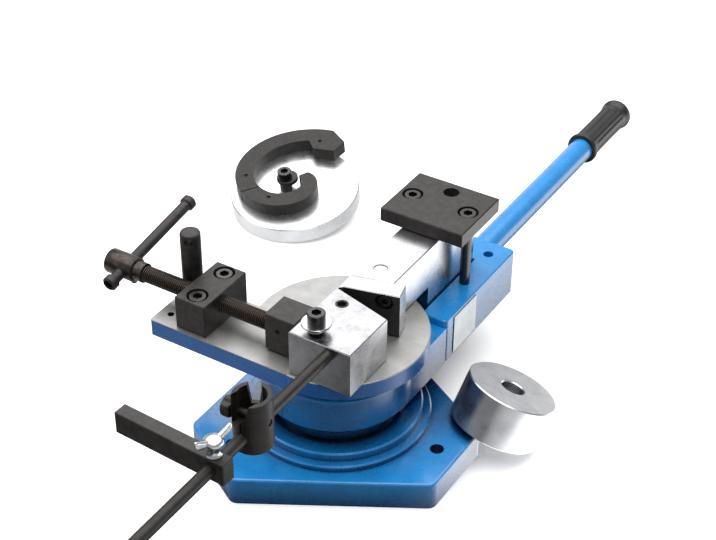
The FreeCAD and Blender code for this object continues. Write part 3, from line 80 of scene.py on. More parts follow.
def place_camera():
    """Builds the camera from its viewing direction: right, up and backward make its three axes."""
    level = LOOK.cross(Vector((0, 0, 1))).normalized()
    upward = level.cross(LOOK)
    right = level * math.cos(ROLL) + upward * math.sin(ROLL)
    up = upward * math.cos(ROLL) - level * math.sin(ROLL)
    turn = Matrix((right, up, -LOOK)).transposed().to_4x4()
    data = bpy.data.cameras.new("camera")
    data.lens = LENS_MM
    data.sensor_width = SENSOR_MM
    data.clip_end = FARTHEST_SEEN
    camera = bpy.data.objects.new("camera", data)
    camera.matrix_world = Matrix.Translation(EYE) @ turn
    bpy.context.scene.collection.objects.link(camera)
    bpy.context.scene.camera = camera


place_camera()

# %% [markdown]
# One function turns the familiar hex colours into the linear numbers that the shader wants, and one
# function adds a node with its settings and its links, so that each material reads as a short recipe.

# %% Colour and node helpers


def hue(text):
    """An sRGB hex colour as linear red, green, blue and alpha."""
    parts = [int(text[index:index + 2], 16) / 255 for index in (1, 3, 5)]
    linear = [part / 12.92 if part <= 0.04045 else ((part + 0.055) / 1.055) ** 2.4 for part in parts]
    return (*linear, 1.0)


def add(tree, kind, settings=None, **inputs):
    """Adds a node: settings are its own properties, inputs are values or sockets to link."""
    node = tree.nodes.new(kind)
    for name, setting in (settings or {}).items():
        setattr(node, name, setting)
    for name, content in inputs.items():
        socket = node.inputs[int(name[1:])] if name[0] == "i" and name[1:].isdigit() else \
            node.inputs[name.replace("_", " ")]
        if isinstance(content, bpy.types.NodeSocket):
            tree.links.new(content, socket)
        else:
            socket.default_value = content
    return node


def ramp(tree, factor, *stops):
    """A colour ramp through (position, hex colour) stops."""
    node = add(tree, "ShaderNodeValToRGB", Fac=factor)
    while len(node.color_ramp.elements) < len(stops):
        node.color_ramp.elements.new(0.5)
    for element, (position, colour) in zip(node.color_ramp.elements, stops):
        element.position = position
        element.color = hue(colour)
    return node.outputs["Color"]


def between(tree, factor, low, high):
    """Maps a factor of 0 to 1 onto a range."""
    node = add(tree, "ShaderNodeMapRange", Value=factor, To_Min=low, To_Max=high)
    return node.outputs["Result"]


def new_material(name):
    """A node material with one shader, and with it its node tree, that shader and object coordinates."""
    material = bpy.data.materials.new(name)
    material.use_nodes = True
    tree = material.node_tree
    tree.nodes.clear()
    shader = add(tree, "ShaderNodeBsdfPrincipled")
    add(tree, "ShaderNodeOutputMaterial", Surface=shader.outputs["BSDF"])
    spot = add(tree, "ShaderNodeTexCoord").outputs["Object"]
    return material, tree, shader, spot


def first_node(tree, kind):
    """The first node of a kind, for changing a finished material."""
    return next(node for node in tree.nodes if node.type == kind)


def grain(tree, spot, size_mm, detail=3.0, rough=0.5, stretch=(1, 1, 1)):
    """Noise whose blobs are about size_mm across, pulled out along an axis by stretch."""
    moved = add(tree, "ShaderNodeMapping", Vector=spot)
    moved.inputs["Scale"].default_value = [1 / (size_mm * MM * pull) for pull in stretch]
    noise = add(tree, "ShaderNodeTexNoise", Vector=moved.outputs["Vector"], Scale=1.0, Detail=detail,
                Roughness=rough)
    return noise.outputs["Fac"]


def rounded_edges(tree, radius_mm):
    """A normal that rounds every sharp edge, and a factor that is 1 on the edge and 0 beside it."""
    rounded = add(tree, "ShaderNodeBevel", {"samples": 4}, Radius=radius_mm * MM).outputs["Normal"]
    flat = add(tree, "ShaderNodeNewGeometry").outputs["Normal"]
    match = add(tree, "ShaderNodeVectorMath", {"operation": "DOT_PRODUCT"}, i0=rounded, i1=flat)
    edge = add(tree, "ShaderNodeMapRange", Value=match.outputs["Value"], From_Min=0.99, From_Max=0.80)
    return rounded, edge.outputs["Result"]


def blend(tree, factor, first, second):
    """Mixes two colours, each of them a socket or a linear colour: factor 1 gives the second."""
    node = add(tree, "ShaderNodeMix", {"data_type": "RGBA"}, Factor=factor)
    for name, content in (("A", first), ("B", second)):
        if isinstance(content, bpy.types.NodeSocket):
            tree.links.new(content, node.inputs[name])
        else:
            node.inputs[name].default_value = content
    return node.outputs["Result"]


def relief(tree, shader, height, depth_mm, under=None):
    """Bump of a real depth in millimetres, laid over any bump made before."""
    bump = add(tree, "ShaderNodeBump", Height=height, Distance=depth_mm * MM, Strength=1.0)
    if under is not None:
        tree.links.new(under, bump.inputs["Normal"])
    tree.links.new(bump.outputs["Normal"], shader.inputs["Normal"])
    return bump.outputs["Normal"]


# %% [markdown]
# The castings and the handle are painted with a gloss enamel. Paint on rough iron keeps a soft, long
# wave with fine orange peel over it, and its colour drifts a little. Corners are shaded darker than the
# light alone makes them, over distances and up to a height found by trial against the photo.

# %% Blue enamel
# The dark navy of the painted corner shade.
CORNER_SHADE_BLUE = hue("#03204F")


def blue_enamel(name="gloss_enamel_blue", dark="#1784CC", light="#1F92DC", reach_mm=50, coat=0.5,
                below=1.0):
    """Alkyd enamel sprayed on cast iron: a clear glossy azure with orange peel.

    It is painted darker in the corners as shade: reach_mm says how far a corner is felt, and below up
    to what height in metres.
    """
    material, tree, shader, spot = new_material(name)
    cloud = grain(tree, spot, size_mm=24, detail=2)
    colour = ramp(tree, cloud, (0.3, dark), (0.7, light))
    # Painted shade: where ambient occlusion finds surfaces close by, the colour turns to a dark navy.
    corners = add(tree, "ShaderNodeAmbientOcclusion", {"samples": 6}, Distance=reach_mm * MM)
    open_air = add(tree, "ShaderNodeMapRange", Value=corners.outputs["AO"], From_Min=0.45, From_Max=0.85)
    height = add(tree, "ShaderNodeSeparateXYZ", Vector=spot).outputs["Z"]
    free = add(tree, "ShaderNodeMapRange", Value=height, From_Min=below, From_Max=below + 5 * MM)
    unshaded = add(tree, "ShaderNodeMath", {"operation": "MAXIMUM"}, i0=open_air.outputs["Result"],
                i1=free.outputs["Result"])
    tree.links.new(blend(tree, unshaded.outputs[0], CORNER_SHADE_BLUE, colour), shader.inputs["Base Color"])
    wave = relief(tree, shader, grain(tree, spot, size_mm=14, detail=1), depth_mm=0.12)
    relief(tree, shader, grain(tree, spot, size_mm=2.6, detail=2), depth_mm=0.02, under=wave)
    gloss = between(tree, grain(tree, spot, size_mm=9), low=0.22, high=0.34)
    tree.links.new(gloss, shader.inputs["Roughness"])
    shader.inputs["IOR"].default_value = 1.5
    shader.inputs["Coat Weight"].default_value = coat
    shader.inputs["Coat Roughness"].default_value = 0.14
    return material


# The lever's corner shade ends at this height, so that its top stays bright.
HUB_TOP = 88 * MM
ENAMEL = blue_enamel()
LEVER_ENAMEL = blue_enamel("gloss_enamel_blue_lever", reach_mm=220, coat=0.3, below=HUB_TOP)

# %% [markdown]
# The machined faces are bare steel. Grinding leaves fine straight scratches one way, turning leaves
# rings round the axis, and oil leaves faint patches that change the gloss more than the colour.

# %% Ground and turned steel
SCRATCH_LENGTH = 60


def ground_steel(name, along, tone="#C4C4C6", dark="#ABACAF", low=0.24, high=0.32):
    """Surface-ground steel: scratches a few hundredths wide, drawn 0.5 mm wide so that they show.

    along is the axis that they run along, and each is SCRATCH_LENGTH times as long as it is wide.
    """
    material, tree, shader, spot = new_material(name)
    pull = [SCRATCH_LENGTH if axis == along else 1 for axis in "xyz"]
    lines = grain(tree, spot, size_mm=0.5, detail=4, rough=0.7, stretch=pull)
    patch = grain(tree, spot, size_mm=16, detail=4, rough=0.6)
    shade = add(tree, "ShaderNodeMath", {"operation": "MULTIPLY_ADD"}, i0=lines, i1=0.45, i2=patch)
    colour = ramp(tree, shade.outputs[0], (0.45, dark), (0.95, tone))
    tree.links.new(colour, shader.inputs["Base Color"])
    shader.inputs["Metallic"].default_value = 1.0
    tree.links.new(between(tree, patch, low, high), shader.inputs["Roughness"])
    relief(tree, shader, lines, depth_mm=0.006)
    return material


def turned_steel(name, centre, tilt=(0, 0, 0), tone="#C4C5C8", dark="#9C9EA2"):
    """Lathe-turned steel: rings round its own axis, drawn at a feed of 0.4 mm a turn."""
    material, tree, shader, spot = new_material(name)
    moved = add(tree, "ShaderNodeMapping", {"vector_type": "TEXTURE"}, Vector=spot)
    moved.inputs["Location"].default_value = centre
    moved.inputs["Rotation"].default_value = tilt
    parts = add(tree, "ShaderNodeSeparateXYZ", Vector=moved.outputs["Vector"])
    flat = add(tree, "ShaderNodeCombineXYZ", X=parts.outputs["X"], Y=parts.outputs["Y"])
    away = add(tree, "ShaderNodeVectorMath", {"operation": "LENGTH"}, i0=flat.outputs["Vector"])
    both = add(tree, "ShaderNodeMath", {"operation": "ADD"}, i0=away.outputs["Value"],
               i1=parts.outputs["Z"])
    feed = add(tree, "ShaderNodeCombineXYZ", X=both.outputs[0])
    rings = grain(tree, feed.outputs["Vector"], size_mm=0.4, detail=4, rough=0.7)
    patch = grain(tree, spot, size_mm=18, detail=4, rough=0.6)
    shade = add(tree, "ShaderNodeMath", {"operation": "MULTIPLY_ADD"}, i0=rings, i1=0.5, i2=patch)
    colour = ramp(tree, shade.outputs[0], (0.45, dark), (0.95, tone))
    tree.links.new(colour, shader.inputs["Base Color"])
    shader.inputs["Metallic"].default_value = 1.0
    tree.links.new(between(tree, patch, low=0.22, high=0.36), shader.inputs["Roughness"])
    relief(tree, shader, rings, depth_mm=0.008)
    return material


BAR_STEEL = ground_steel("ground_steel_bar", "y")
# A darker copy of the bar's ground steel: painted shade for the block's dim faces.
SHADED_BLOCK_STEEL = ground_steel("ground_steel_block_shaded", "y", tone="#B6B6B8", dark="#868688")
PLAIN_TURNED = turned_steel("turned_steel_pin", (0, 0, 0))

# %% [markdown]
# The table is one casting with two finishes: its top was ground bright after its sides were painted.
# A test on the height of the surface switches between the two shaders, just below the top face, and a
# test on the distance from the arm's small hole leaves the wall of that hole bare, darkened with painted
# shade. The sides' blue is a darker copy of the enamel, which is painted shade.

# %% Ground table with painted sides


def ground_table(top, hole, reach):
    """Ground grey iron above a height, blue enamel below it, and a bare wall in the arm's hole, both
    enamel and wall darkened with painted shade.
    """
    # A darker copy of the blue enamel: painted shade on the table's sides and in its corners.
    material = blue_enamel("ground_iron_painted_sides", dark="#0E5AA2", light="#1466B2", reach_mm=140,
                           coat=0.15)
    tree = material.node_tree
    spot = add(tree, "ShaderNodeTexCoord").outputs["Object"]
    output = first_node(tree, "OUTPUT_MATERIAL")
    paint = first_node(tree, "BSDF_PRINCIPLED")
    paint.inputs["IOR"].default_value = 1.4
    iron = add(tree, "ShaderNodeBsdfPrincipled", Metallic=1.0)
    lines = grain(tree, spot, size_mm=0.6, detail=4, rough=0.7, stretch=(50, 1, 1))
    patch = grain(tree, spot, size_mm=22, detail=4, rough=0.6)
    shade = add(tree, "ShaderNodeMath", {"operation": "MULTIPLY_ADD"}, i0=lines, i1=0.5, i2=patch)
    colour = ramp(tree, shade.outputs[0], (0.40, "#7A7672"), (0.60, "#949391"), (0.95, "#A8A8A8"))
    tree.links.new(between(tree, patch, low=0.42, high=0.56), iron.inputs["Roughness"])
    relief(tree, iron, lines, depth_mm=0.008)
    height = add(tree, "ShaderNodeSeparateXYZ", Vector=spot).outputs["Z"]
    above = add(tree, "ShaderNodeMath", {"operation": "GREATER_THAN"}, i0=height, i1=top)
    sideways = add(tree, "ShaderNodeVectorMath", {"operation": "SUBTRACT"}, i0=spot, i1=hole)
    level = add(tree, "ShaderNodeVectorMath", {"operation": "MULTIPLY"}, i0=sideways.outputs["Vector"],
                i1=(1, 1, 0))
    away = add(tree, "ShaderNodeVectorMath", {"operation": "LENGTH"}, i0=level.outputs["Vector"])
    bored = add(tree, "ShaderNodeMath", {"operation": "LESS_THAN"}, i0=away.outputs["Value"], i1=reach)
    # The hole's bare wall is painted near black: painted shade in the hole.
    tree.links.new(blend(tree, bored.outputs[0], colour, hue("#2A2826")), iron.inputs["Base Color"])
    bare = add(tree, "ShaderNodeMath", {"operation": "MAXIMUM"}, i0=above.outputs[0], i1=bored.outputs[0])
    mixed = add(tree, "ShaderNodeMixShader", Fac=bare.outputs[0], i1=paint.outputs["BSDF"],
                i2=iron.outputs["BSDF"])
    tree.links.new(mixed.outputs["Shader"], output.inputs["Surface"])
    return material


TABLE_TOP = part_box("table_casting")[1].z
PAINT_LINE = 0.9 * MM
ARM_HOLE = (-138 * MM, -64 * MM, 0)
ARM_HOLE_REACH = 3.2 * MM
TABLE = ground_table(TABLE_TOP - PAINT_LINE, ARM_HOLE, ARM_HOLE_REACH)

# %% [markdown]
# The working pieces are blackened and oiled. The black oxide skin is thin, so it shines softly, looks
# grey under a bright lamp, and is painted lighter along the edges, as highlight and wear.

# %% Black oxide, rubber, zinc, bronze and foil
# The lighter colour of the edges: a painted highlight for edge glints, with wear.
EDGE_HIGHLIGHT_AND_WEAR = hue("#4E4741")


def black_oxide(name="black_oxide_steel", dark="#1B1918", light="#393331", low=0.34, high=0.50,
                edge_mm=0.5, ior=1.4):
    """Blackened steel under a film of oil, painted a little lighter along its edges as highlight and
    wear.
    """
    material, tree, shader, spot = new_material(name)
    patch = grain(tree, spot, size_mm=7, detail=5, rough=0.65)
    rounded, edge = rounded_edges(tree, edge_mm)
    # Painted highlight along the edges, with wear, in a lighter brown-grey.
    colour = blend(tree, edge, ramp(tree, patch, (0.35, dark), (0.75, light)), EDGE_HIGHLIGHT_AND_WEAR)
    tree.links.new(colour, shader.inputs["Base Color"])
    shader.inputs["IOR"].default_value = ior
    gloss = between(tree, grain(tree, spot, size_mm=3), low, high)
    tree.links.new(gloss, shader.inputs["Roughness"])
    relief(tree, shader, grain(tree, spot, size_mm=0.8, detail=3), depth_mm=0.01, under=rounded)
    return material


def plain_metal(name, tone, dark, low, high, size_mm=4, metallic=1.0):
    """Bare or plated metal with a slight change of gloss."""
    material, tree, shader, spot = new_material(name)
    patch = grain(tree, spot, size_mm, detail=4)
    tree.links.new(ramp(tree, patch, (0.35, dark), (0.75, tone)), shader.inputs["Base Color"])
    shader.inputs["Metallic"].default_value = metallic
    tree.links.new(between(tree, patch, low, high), shader.inputs["Roughness"])
    relief(tree, shader, grain(tree, spot, size_mm=1.2, detail=2), depth_mm=0.008)
    return material


def grip_rubber():
    """Moulded black vinyl with a fine matt grain."""
    material, tree, shader, spot = new_material("moulded_vinyl_black")
    patch = grain(tree, spot, size_mm=10)
    tree.links.new(ramp(tree, patch, (0.3, "#0D0C0C"), (0.8, "#181616")), shader.inputs["Base Color"])
    gloss = between(tree, grain(tree, spot, size_mm=2), low=0.34, high=0.48)
    tree.links.new(gloss, shader.inputs["Roughness"])
    relief(tree, shader, grain(tree, spot, size_mm=0.7, detail=2), depth_mm=0.03)
    return material


def shaded_face_steel(slant, spots, seat_radius):
    """Bright ground steel whose slanted working face, with its two sunk screw seats, is painted near
    black as painted shade and painted dark reflection.

    slant is the working face's outward normal. spots are points on the axes of the sunk seats, which
    run square to that face. A surface belongs to a seat where it lies within seat_radius of its axis.
    """
    material = BAR_STEEL.copy()
    material.name = "ground_steel_shaded_face"
    tree = material.node_tree
    coordinates = add(tree, "ShaderNodeTexCoord")
    output = first_node(tree, "OUTPUT_MATERIAL")
    steel = first_node(tree, "BSDF_PRINCIPLED")
    facing = add(tree, "ShaderNodeVectorMath", {"operation": "DOT_PRODUCT"},
                 i0=coordinates.outputs["Normal"], i1=slant)
    mask = add(tree, "ShaderNodeMath", {"operation": "GREATER_THAN"}, i0=facing.outputs["Value"], i1=0.8)
    for spot in spots:
        away = add(tree, "ShaderNodeVectorMath", {"operation": "SUBTRACT"},
                   i0=coordinates.outputs["Object"], i1=spot)
        across = add(tree, "ShaderNodeVectorMath", {"operation": "CROSS_PRODUCT"},
                     i0=away.outputs["Vector"], i1=slant)
        reach = add(tree, "ShaderNodeVectorMath", {"operation": "LENGTH"}, i0=across.outputs["Vector"])
        inside = add(tree, "ShaderNodeMath", {"operation": "LESS_THAN"}, i0=reach.outputs["Value"],
                     i1=seat_radius)
        mask = add(tree, "ShaderNodeMath", {"operation": "MAXIMUM"}, i0=mask.outputs[0],
                   i1=inside.outputs[0])
    # Painted shade and dark reflection on the working face and its seats, where the steel would be.
    black = add(tree, "ShaderNodeBsdfPrincipled", Roughness=0.42, IOR=1.5)
    patch = grain(tree, coordinates.outputs["Object"], size_mm=7, detail=5, rough=0.65)
    tree.links.new(ramp(tree, patch, (0.35, "#151413"), (0.75, "#262422")), black.inputs["Base Color"])
    mixed = add(tree, "ShaderNodeMixShader", Fac=mask.outputs[0], i1=steel.outputs["BSDF"],
                i2=black.outputs["BSDF"])
    tree.links.new(mixed.outputs["Shader"], output.inputs["Surface"])
    return material


BLACK = black_oxide()
CAST_BLACK = black_oxide("black_oxide_casting", "#0C0A08", "#2B2520", high=0.55)
FASTENER_BLACK = black_oxide("black_oxide_fastener", "#080808", "#191716", low=0.20, high=0.34,
                             edge_mm=0.3, ior=1.55)
ZINC = plain_metal("bright_zinc_plate", "#D6D8DA", "#B4B7BA", low=0.16, high=0.30)
BRONZE = plain_metal("oiled_bearing_bronze", "#5E4A31", "#3A2D1E", low=0.25, high=0.40)
FOIL = plain_metal("matt_foil_plate", "#A2A5A8", "#8E9296", low=0.35, high=0.45, size_mm=12)
SPRING_STEEL = plain_metal("zinc_plated_wire", "#D8D8DA", "#A8A8AA", low=0.24, high=0.36, metallic=0.3)
RUBBER = grip_rubber()

# %% [markdown]
# Every CAD piece keeps its own shape and gets the material of the real piece. The turned pieces need
# the place and tilt of their axis, so that the rings left by the lathe run true round it.

# %% Dress the CAD pieces
finished = set()


def dress(material, *names):
    """Puts one material on CAD pieces, and notes that they are finished."""
    finished.update(names)
    for name in names:
        slots = NODES[name].data.materials
        slots.clear()
        slots.append(material)
        for polygon in NODES[name].data.polygons:
            polygon.material_index = 0


def middle(name):
    """The middle of a CAD piece's box."""
    low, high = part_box(name)
    return (low + high) / 2


# The working face's turn, its distance from the pivot, and its two seats: how far along the face each
# one lies and how far under the bar's top, in millimetres.
FACE_ANGLE = math.radians(14)
FACE_DEPTH = 2.9
FACE_SEATS = ((42.7, 9.2), (18.7, 34.8))
SEAT_RADIUS = 8.6 * MM
face_normal = Vector((math.sin(FACE_ANGLE), -math.cos(FACE_ANGLE), 0))
bar_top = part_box("bending_bar")[1].z / MM
seats = [Vector((along * math.cos(FACE_ANGLE) - FACE_DEPTH * math.sin(FACE_ANGLE),
                 along * math.sin(FACE_ANGLE) + FACE_DEPTH * math.cos(FACE_ANGLE), bar_top - drop)) * MM
         for along, drop in FACE_SEATS]
FACE_STEEL = shaded_face_steel(face_normal, seats, SEAT_RADIUS)
# The roller leans on the base, and the scroll plate leans on its locating pins.
ROLLER_TILT = math.radians(25)
ROLLER_HEADING = math.radians(60)
SCROLL_TILT = math.radians(8.8)
roller_axis = Vector((math.sin(ROLLER_TILT) * math.cos(ROLLER_HEADING),
                      math.sin(ROLLER_TILT) * math.sin(ROLLER_HEADING), math.cos(ROLLER_TILT)))
roller_turn = Vector((0, 0, 1)).rotation_difference(roller_axis).to_euler()
ROLLER_STEEL = turned_steel("turned_steel_roller", middle("former_roller"), roller_turn, "#C8C9CC",
                            "#A6A8AB")
SCROLL_STEEL = turned_steel("turned_steel_plate", middle("scroll_plate"), (SCROLL_TILT, 0, 0),
                            "#ECEDEF", "#D6D8DA")

dress(ENAMEL, "base_plate", "lever_tube")
dress(LEVER_ENAMEL, "lever_casting")
dress(TABLE, "table_casting")
dress(SHADED_BLOCK_STEEL, "clamp_block")
dress(BAR_STEEL, "bending_bar")
dress(FACE_STEEL, "bending_face")
dress(ROLLER_STEEL, "former_roller")
dress(SCROLL_STEEL, "scroll_plate")
dress(PLAIN_TURNED, "kingpin", "bar_pin", "scroll_locating_pins")
dress(BRONZE, "lower_thrust_washer", "upper_thrust_washer", "hub_bush")
dress(ZINC, "block_washer", "wing_screw")
dress(FOIL, "side_plate")
dress(SPRING_STEEL, "block_spring")
dress(RUBBER, "lever_grip")
dress(CAST_BLACK, "notched_rest", "outer_former", "inner_former", "stop_rod")
dress(FASTENER_BLACK, "kingpin_screws", "table_screws", "block_screws", "block_bolt", "nut_block_screws",
      "bar_foot_screws", "face_screws", "plate_screws", "tube_set_screw", "head_grub_screw",
      "former_screws", "eccentric_screw")
plain_black = [name for name in NODES if name not in finished]
dress(BLACK, *plain_black)
print("dressed", len(NODES), "pieces, of which", len(plain_black), "in plain black oxide")

# %% [markdown]
# A surface is a grid of points, worked out as whole arrays: one index runs along the piece and the
# other runs round it. The helper turns such grids into one mesh, welds the poles and the seams, and
# marks as sharp only the edges that really are.

# %% Surfaces from grids
# Points closer than the first are one point, and edges shorter than the second have no length (metres).
SAME_POINT = 1e-6
NO_LENGTH = 1e-7


def piece_from(name, grids, material, body, stands_for=(), sharp=35):
    """Makes one object from grids of shape (along, round, 3) that close round their second index.

    stands_for names the CAD nodes that it takes the place of, and sharp is the least angle in degrees
    of an edge that is left unsmoothed.
    """
    points = []
    faces = []
    for grid in grids:
        rows, columns = grid.shape[:2]
        index = np.arange(rows * columns).reshape(rows, columns) + sum(len(part) for part in points)
        after = np.roll(index, -1, axis=1)
        quads = np.stack([index[:-1], after[:-1], after[1:], index[1:]], axis=-1)
        faces.append(quads.reshape(-1, 4))
        points.append(grid.reshape(-1, 3))
    mesh = bpy.data.meshes.new(name)
    mesh.from_pydata(np.concatenate(points).tolist(), [], np.concatenate(faces).tolist())
    thing = bpy.data.objects.new(name, mesh)
    bpy.context.scene.collection.objects.link(thing)
    weld_and_face_out(mesh)
    mesh.shade_smooth()
    mesh.set_sharp_from_angle(angle=math.radians(sharp))
    mesh.materials.append(material)
    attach(thing, body)
    if stands_for:
        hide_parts(*stands_for)
    print(name, "has", len(mesh.polygons), "faces")


def weld_and_face_out(mesh):
    """Merges coincident points, which closes poles and seams, and turns every face outwards."""
    work = bmesh.new()
    work.from_mesh(mesh)
    bmesh.ops.remove_doubles(work, verts=work.verts, dist=SAME_POINT)
    bmesh.ops.dissolve_degenerate(work, edges=work.edges, dist=NO_LENGTH)
    bmesh.ops.recalc_face_normals(work, faces=work.faces)
    work.to_mesh(mesh)
    work.free()


def lathe(stations, radii, centre, axis="z", count=96, ripple=None):
    """Turns a profile round an axis: at each station the point goes round at its radius.

    stations and radii are in millimetres from centre, and ripple(station, angle) adds to the radius.
    """
    along = np.asarray(stations, float)[:, None]
    angle = np.linspace(0, 2 * np.pi, count, endpoint=False)[None, :]
    radius = np.asarray(radii, float)[:, None] + np.zeros_like(angle)
    if ripple is not None:
        radius = radius + ripple(along, angle)
    flat = along + np.zeros_like(angle)
    first, second = radius * np.cos(angle), radius * np.sin(angle)
    order = {"x": (flat, first, second), "y": (second, flat, first), "z": (first, second, flat)}[axis]
    return np.stack(order, axis=-1) * MM + np.asarray(centre, float)


# %% [markdown]
# The clamping screw is an M16 screw with a 2 mm pitch. On the real screw the ridge is one helix: the
# radius at a point depends on how far along it lies, less its share of a turn. That one formula gives
# the whole thread, with flat crests and roots.

# %% The clamping screw
PITCH = 2.0
CREST = 7.95
DEPTH = 1.1
ROWS_A_TURN = 10
HEAD_LENGTH = 31.5
COLLAR_RADIUS = 9.6
COLLAR_LENGTH = 9.5
JOURNAL_RADIUS = 6.95
JOURNAL_LENGTH = 20
JAW_GAP = 0.4
OVERLAP = 0.1


def thread_ripple(along, angle):
    """The depth of the groove: a clipped triangle wave that climbs one pitch a turn.

    A fifth of the pitch is flat crest and a fifth is flat root.
    """
    phase = (along / PITCH - angle / (2 * np.pi)) % 1.0
    wave = np.abs(2 * phase - 1)
    return -DEPTH * np.clip((wave - 0.2) / 0.6, 0, 1)


screw_low, screw_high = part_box("clamping_screw")
screw_centre = Vector((0, (screw_low.y + screw_high.y) / 2, (screw_low.z + screw_high.z) / 2))
head_start = screw_low.x / MM
head_end = head_start + HEAD_LENGTH
thread_start = head_end + COLLAR_LENGTH
thread_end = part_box("clamp_jaw")[0].x / MM - JAW_GAP
journal_start = thread_end - OVERLAP
journal_end = thread_end + JOURNAL_LENGTH
# The head's corners are turned round over 1.6 mm at both ends, and a plain collar follows it.
head = lathe([head_start, head_start, head_start + 0.6, head_start + 1.6, head_end - 1.6, head_end - 0.6,
              head_end, head_end, thread_start],
             [0, 10.4, 11.5, 12, 12, 11.5, 10.8, COLLAR_RADIUS, COLLAR_RADIUS - 0.2], screw_centre, "x")
rows = np.arange(thread_start, thread_end, PITCH / ROWS_A_TURN)
thread = lathe(rows, np.full(len(rows), CREST), screw_centre, "x", 72, thread_ripple)
journal = lathe([journal_start, journal_start, journal_end, journal_end],
                [0, JOURNAL_RADIUS, JOURNAL_RADIUS, 0], screw_centre, "x", 48)


def crest_lit_thread():
    """Black oxide with painted highlight and nut wear on the crests, brown and bright, and painted shade
    in the roots, black.

    The distance from the screw's axis tells a crest from a root, and only the threaded length has them.
    """
    material = black_oxide("black_oxide_screw", "#1A1512", "#4A4038", low=0.18, high=0.30, edge_mm=0.05,
                           ior=1.5)
    tree = material.node_tree
    shader = first_node(tree, "BSDF_PRINCIPLED")
    spot = add(tree, "ShaderNodeTexCoord").outputs["Object"]
    away = add(tree, "ShaderNodeVectorMath", {"operation": "SUBTRACT"}, i0=spot, i1=screw_centre)
    across = add(tree, "ShaderNodeVectorMath", {"operation": "MULTIPLY"}, i0=away.outputs["Vector"],
                 i1=(0, 1, 1))
    radius = add(tree, "ShaderNodeVectorMath", {"operation": "LENGTH"}, i0=across.outputs["Vector"])
    crest = add(tree, "ShaderNodeMapRange", Value=radius.outputs["Value"], From_Min=(CREST - 0.7) * MM,
                From_Max=(CREST - 0.1) * MM)
    along = add(tree, "ShaderNodeSeparateXYZ", Vector=spot).outputs["X"]
    threaded = add(tree, "ShaderNodeMath", {"operation": "GREATER_THAN"}, i0=along, i1=thread_start * MM)
    skin = shader.inputs["Base Color"].links[0].from_socket
    # Painted highlight on the crests, with wear from the nut, and painted shade in the roots.
    crest_highlight_and_root_shade = blend(tree, crest.outputs["Result"], hue("#040303"), hue("#514439"))
    tree.links.new(blend(tree, threaded.outputs[0], skin, crest_highlight_and_root_shade), shader.inputs["Base Color"])
    shader.inputs["Metallic"].default_value = 0.5
    return material


SCREW_BLACK = crest_lit_thread()
piece_from("clamping_screw_turned", [head, thread, journal], SCREW_BLACK, "spindle",
           ["clamping_screw"], sharp=50)

# %% [markdown]
# The short spring under the cap screw is one wire wound in a helix. A circle is carried along the
# helix: at each point it lies in the plane of the radius and of the direction square to the wire.
# WIRE and COIL are radii in millimetres.

# %% The block spring
WIRE = 1.3
COIL = 6.9
COIL_PITCH = 3.3
COIL_TURNS = 1.85
COIL_ROWS = 200
WIRE_SIDES = 20
SEATED = 0.8


def coil_surface():
    """A tube along a helix, ground flat where it meets the block and the washer.

    The helix is COIL cos t, COIL sin t and climb t. The ring at t is WIRE (cos a outward + sin a upward),
    where upward is square to the helix's own direction, and the first and last rings close to a point.
    The wire's centre starts SEATED of its radius above the block.
    """
    low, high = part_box("block_washer")
    centre = (low + high) / 2
    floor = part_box("clamp_block")[1].z
    turn = np.linspace(0, 2 * np.pi * COIL_TURNS, COIL_ROWS)
    climb = COIL_PITCH / (2 * np.pi)
    path = np.stack([COIL * np.cos(turn), COIL * np.sin(turn), climb * turn], axis=-1)
    outward = np.stack([np.cos(turn), np.sin(turn), np.zeros_like(turn)], axis=-1)
    ahead = np.stack([-COIL * np.sin(turn), COIL * np.cos(turn), np.full_like(turn, climb)], axis=-1)
    ahead /= np.linalg.norm(ahead, axis=1)[:, None]
    upward = np.cross(ahead, outward)
    size = WIRE * np.ones_like(turn)
    size[[0, -1]] = 0
    angle = np.linspace(0, 2 * np.pi, WIRE_SIDES, endpoint=False)
    ring = (np.cos(angle)[None, :, None] * outward[:, None, :]
            + np.sin(angle)[None, :, None] * upward[:, None, :])
    grid = (path[:, None, :] + size[:, None, None] * ring) * MM
    grid += np.array([centre.x, centre.y, floor + WIRE * SEATED * MM])
    grid[..., 2] = np.clip(grid[..., 2], floor, low.z)
    return grid


piece_from("block_spring_wound", [coil_surface()], SPRING_STEEL, "root", ["block_spring"])

# %% [markdown]
# The grip is moulded vinyl with shallow flutes between a lip and a flange. The radius follows the
# profile along the handle, less a flute that comes round twelve times and fades out at both ends.

# %% The grip and the tube
grip_low, grip_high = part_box("lever_grip")
tube_low, tube_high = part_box("lever_tube")
GRIP_CENTRE = Vector((middle("lever_tube").x, 0, middle("lever_tube").z))
GRIP_FLUTES = 12
FLUTE_DEPTH = 1.3
FLUTE_FADE = 6
FLUTES_FROM_LIP = 9
FLUTES_FROM_END = 16
TUBE_RADIUS = 13
MOUTH_RADIUS = TUBE_RADIUS + 0.05
grip_start = grip_low.y / MM
grip_end = grip_high.y / MM


def flutes(along, angle):
    """Rounded flutes: the depth goes round as max(0, cos 12 a) to the power 1.5.

    They fade in behind the lip and out before the flange, each by a smooth step over FLUTE_FADE.
    """
    behind_lip = np.clip((along - grip_start - FLUTES_FROM_LIP) / FLUTE_FADE, 0, 1)
    before_end = np.clip((grip_end - FLUTES_FROM_END - along) / FLUTE_FADE, 0, 1)
    fade = behind_lip * before_end
    fade = fade * fade * (3 - 2 * fade)
    return -FLUTE_DEPTH * fade * np.clip(np.cos(GRIP_FLUTES * angle), 0, 1) ** 1.5


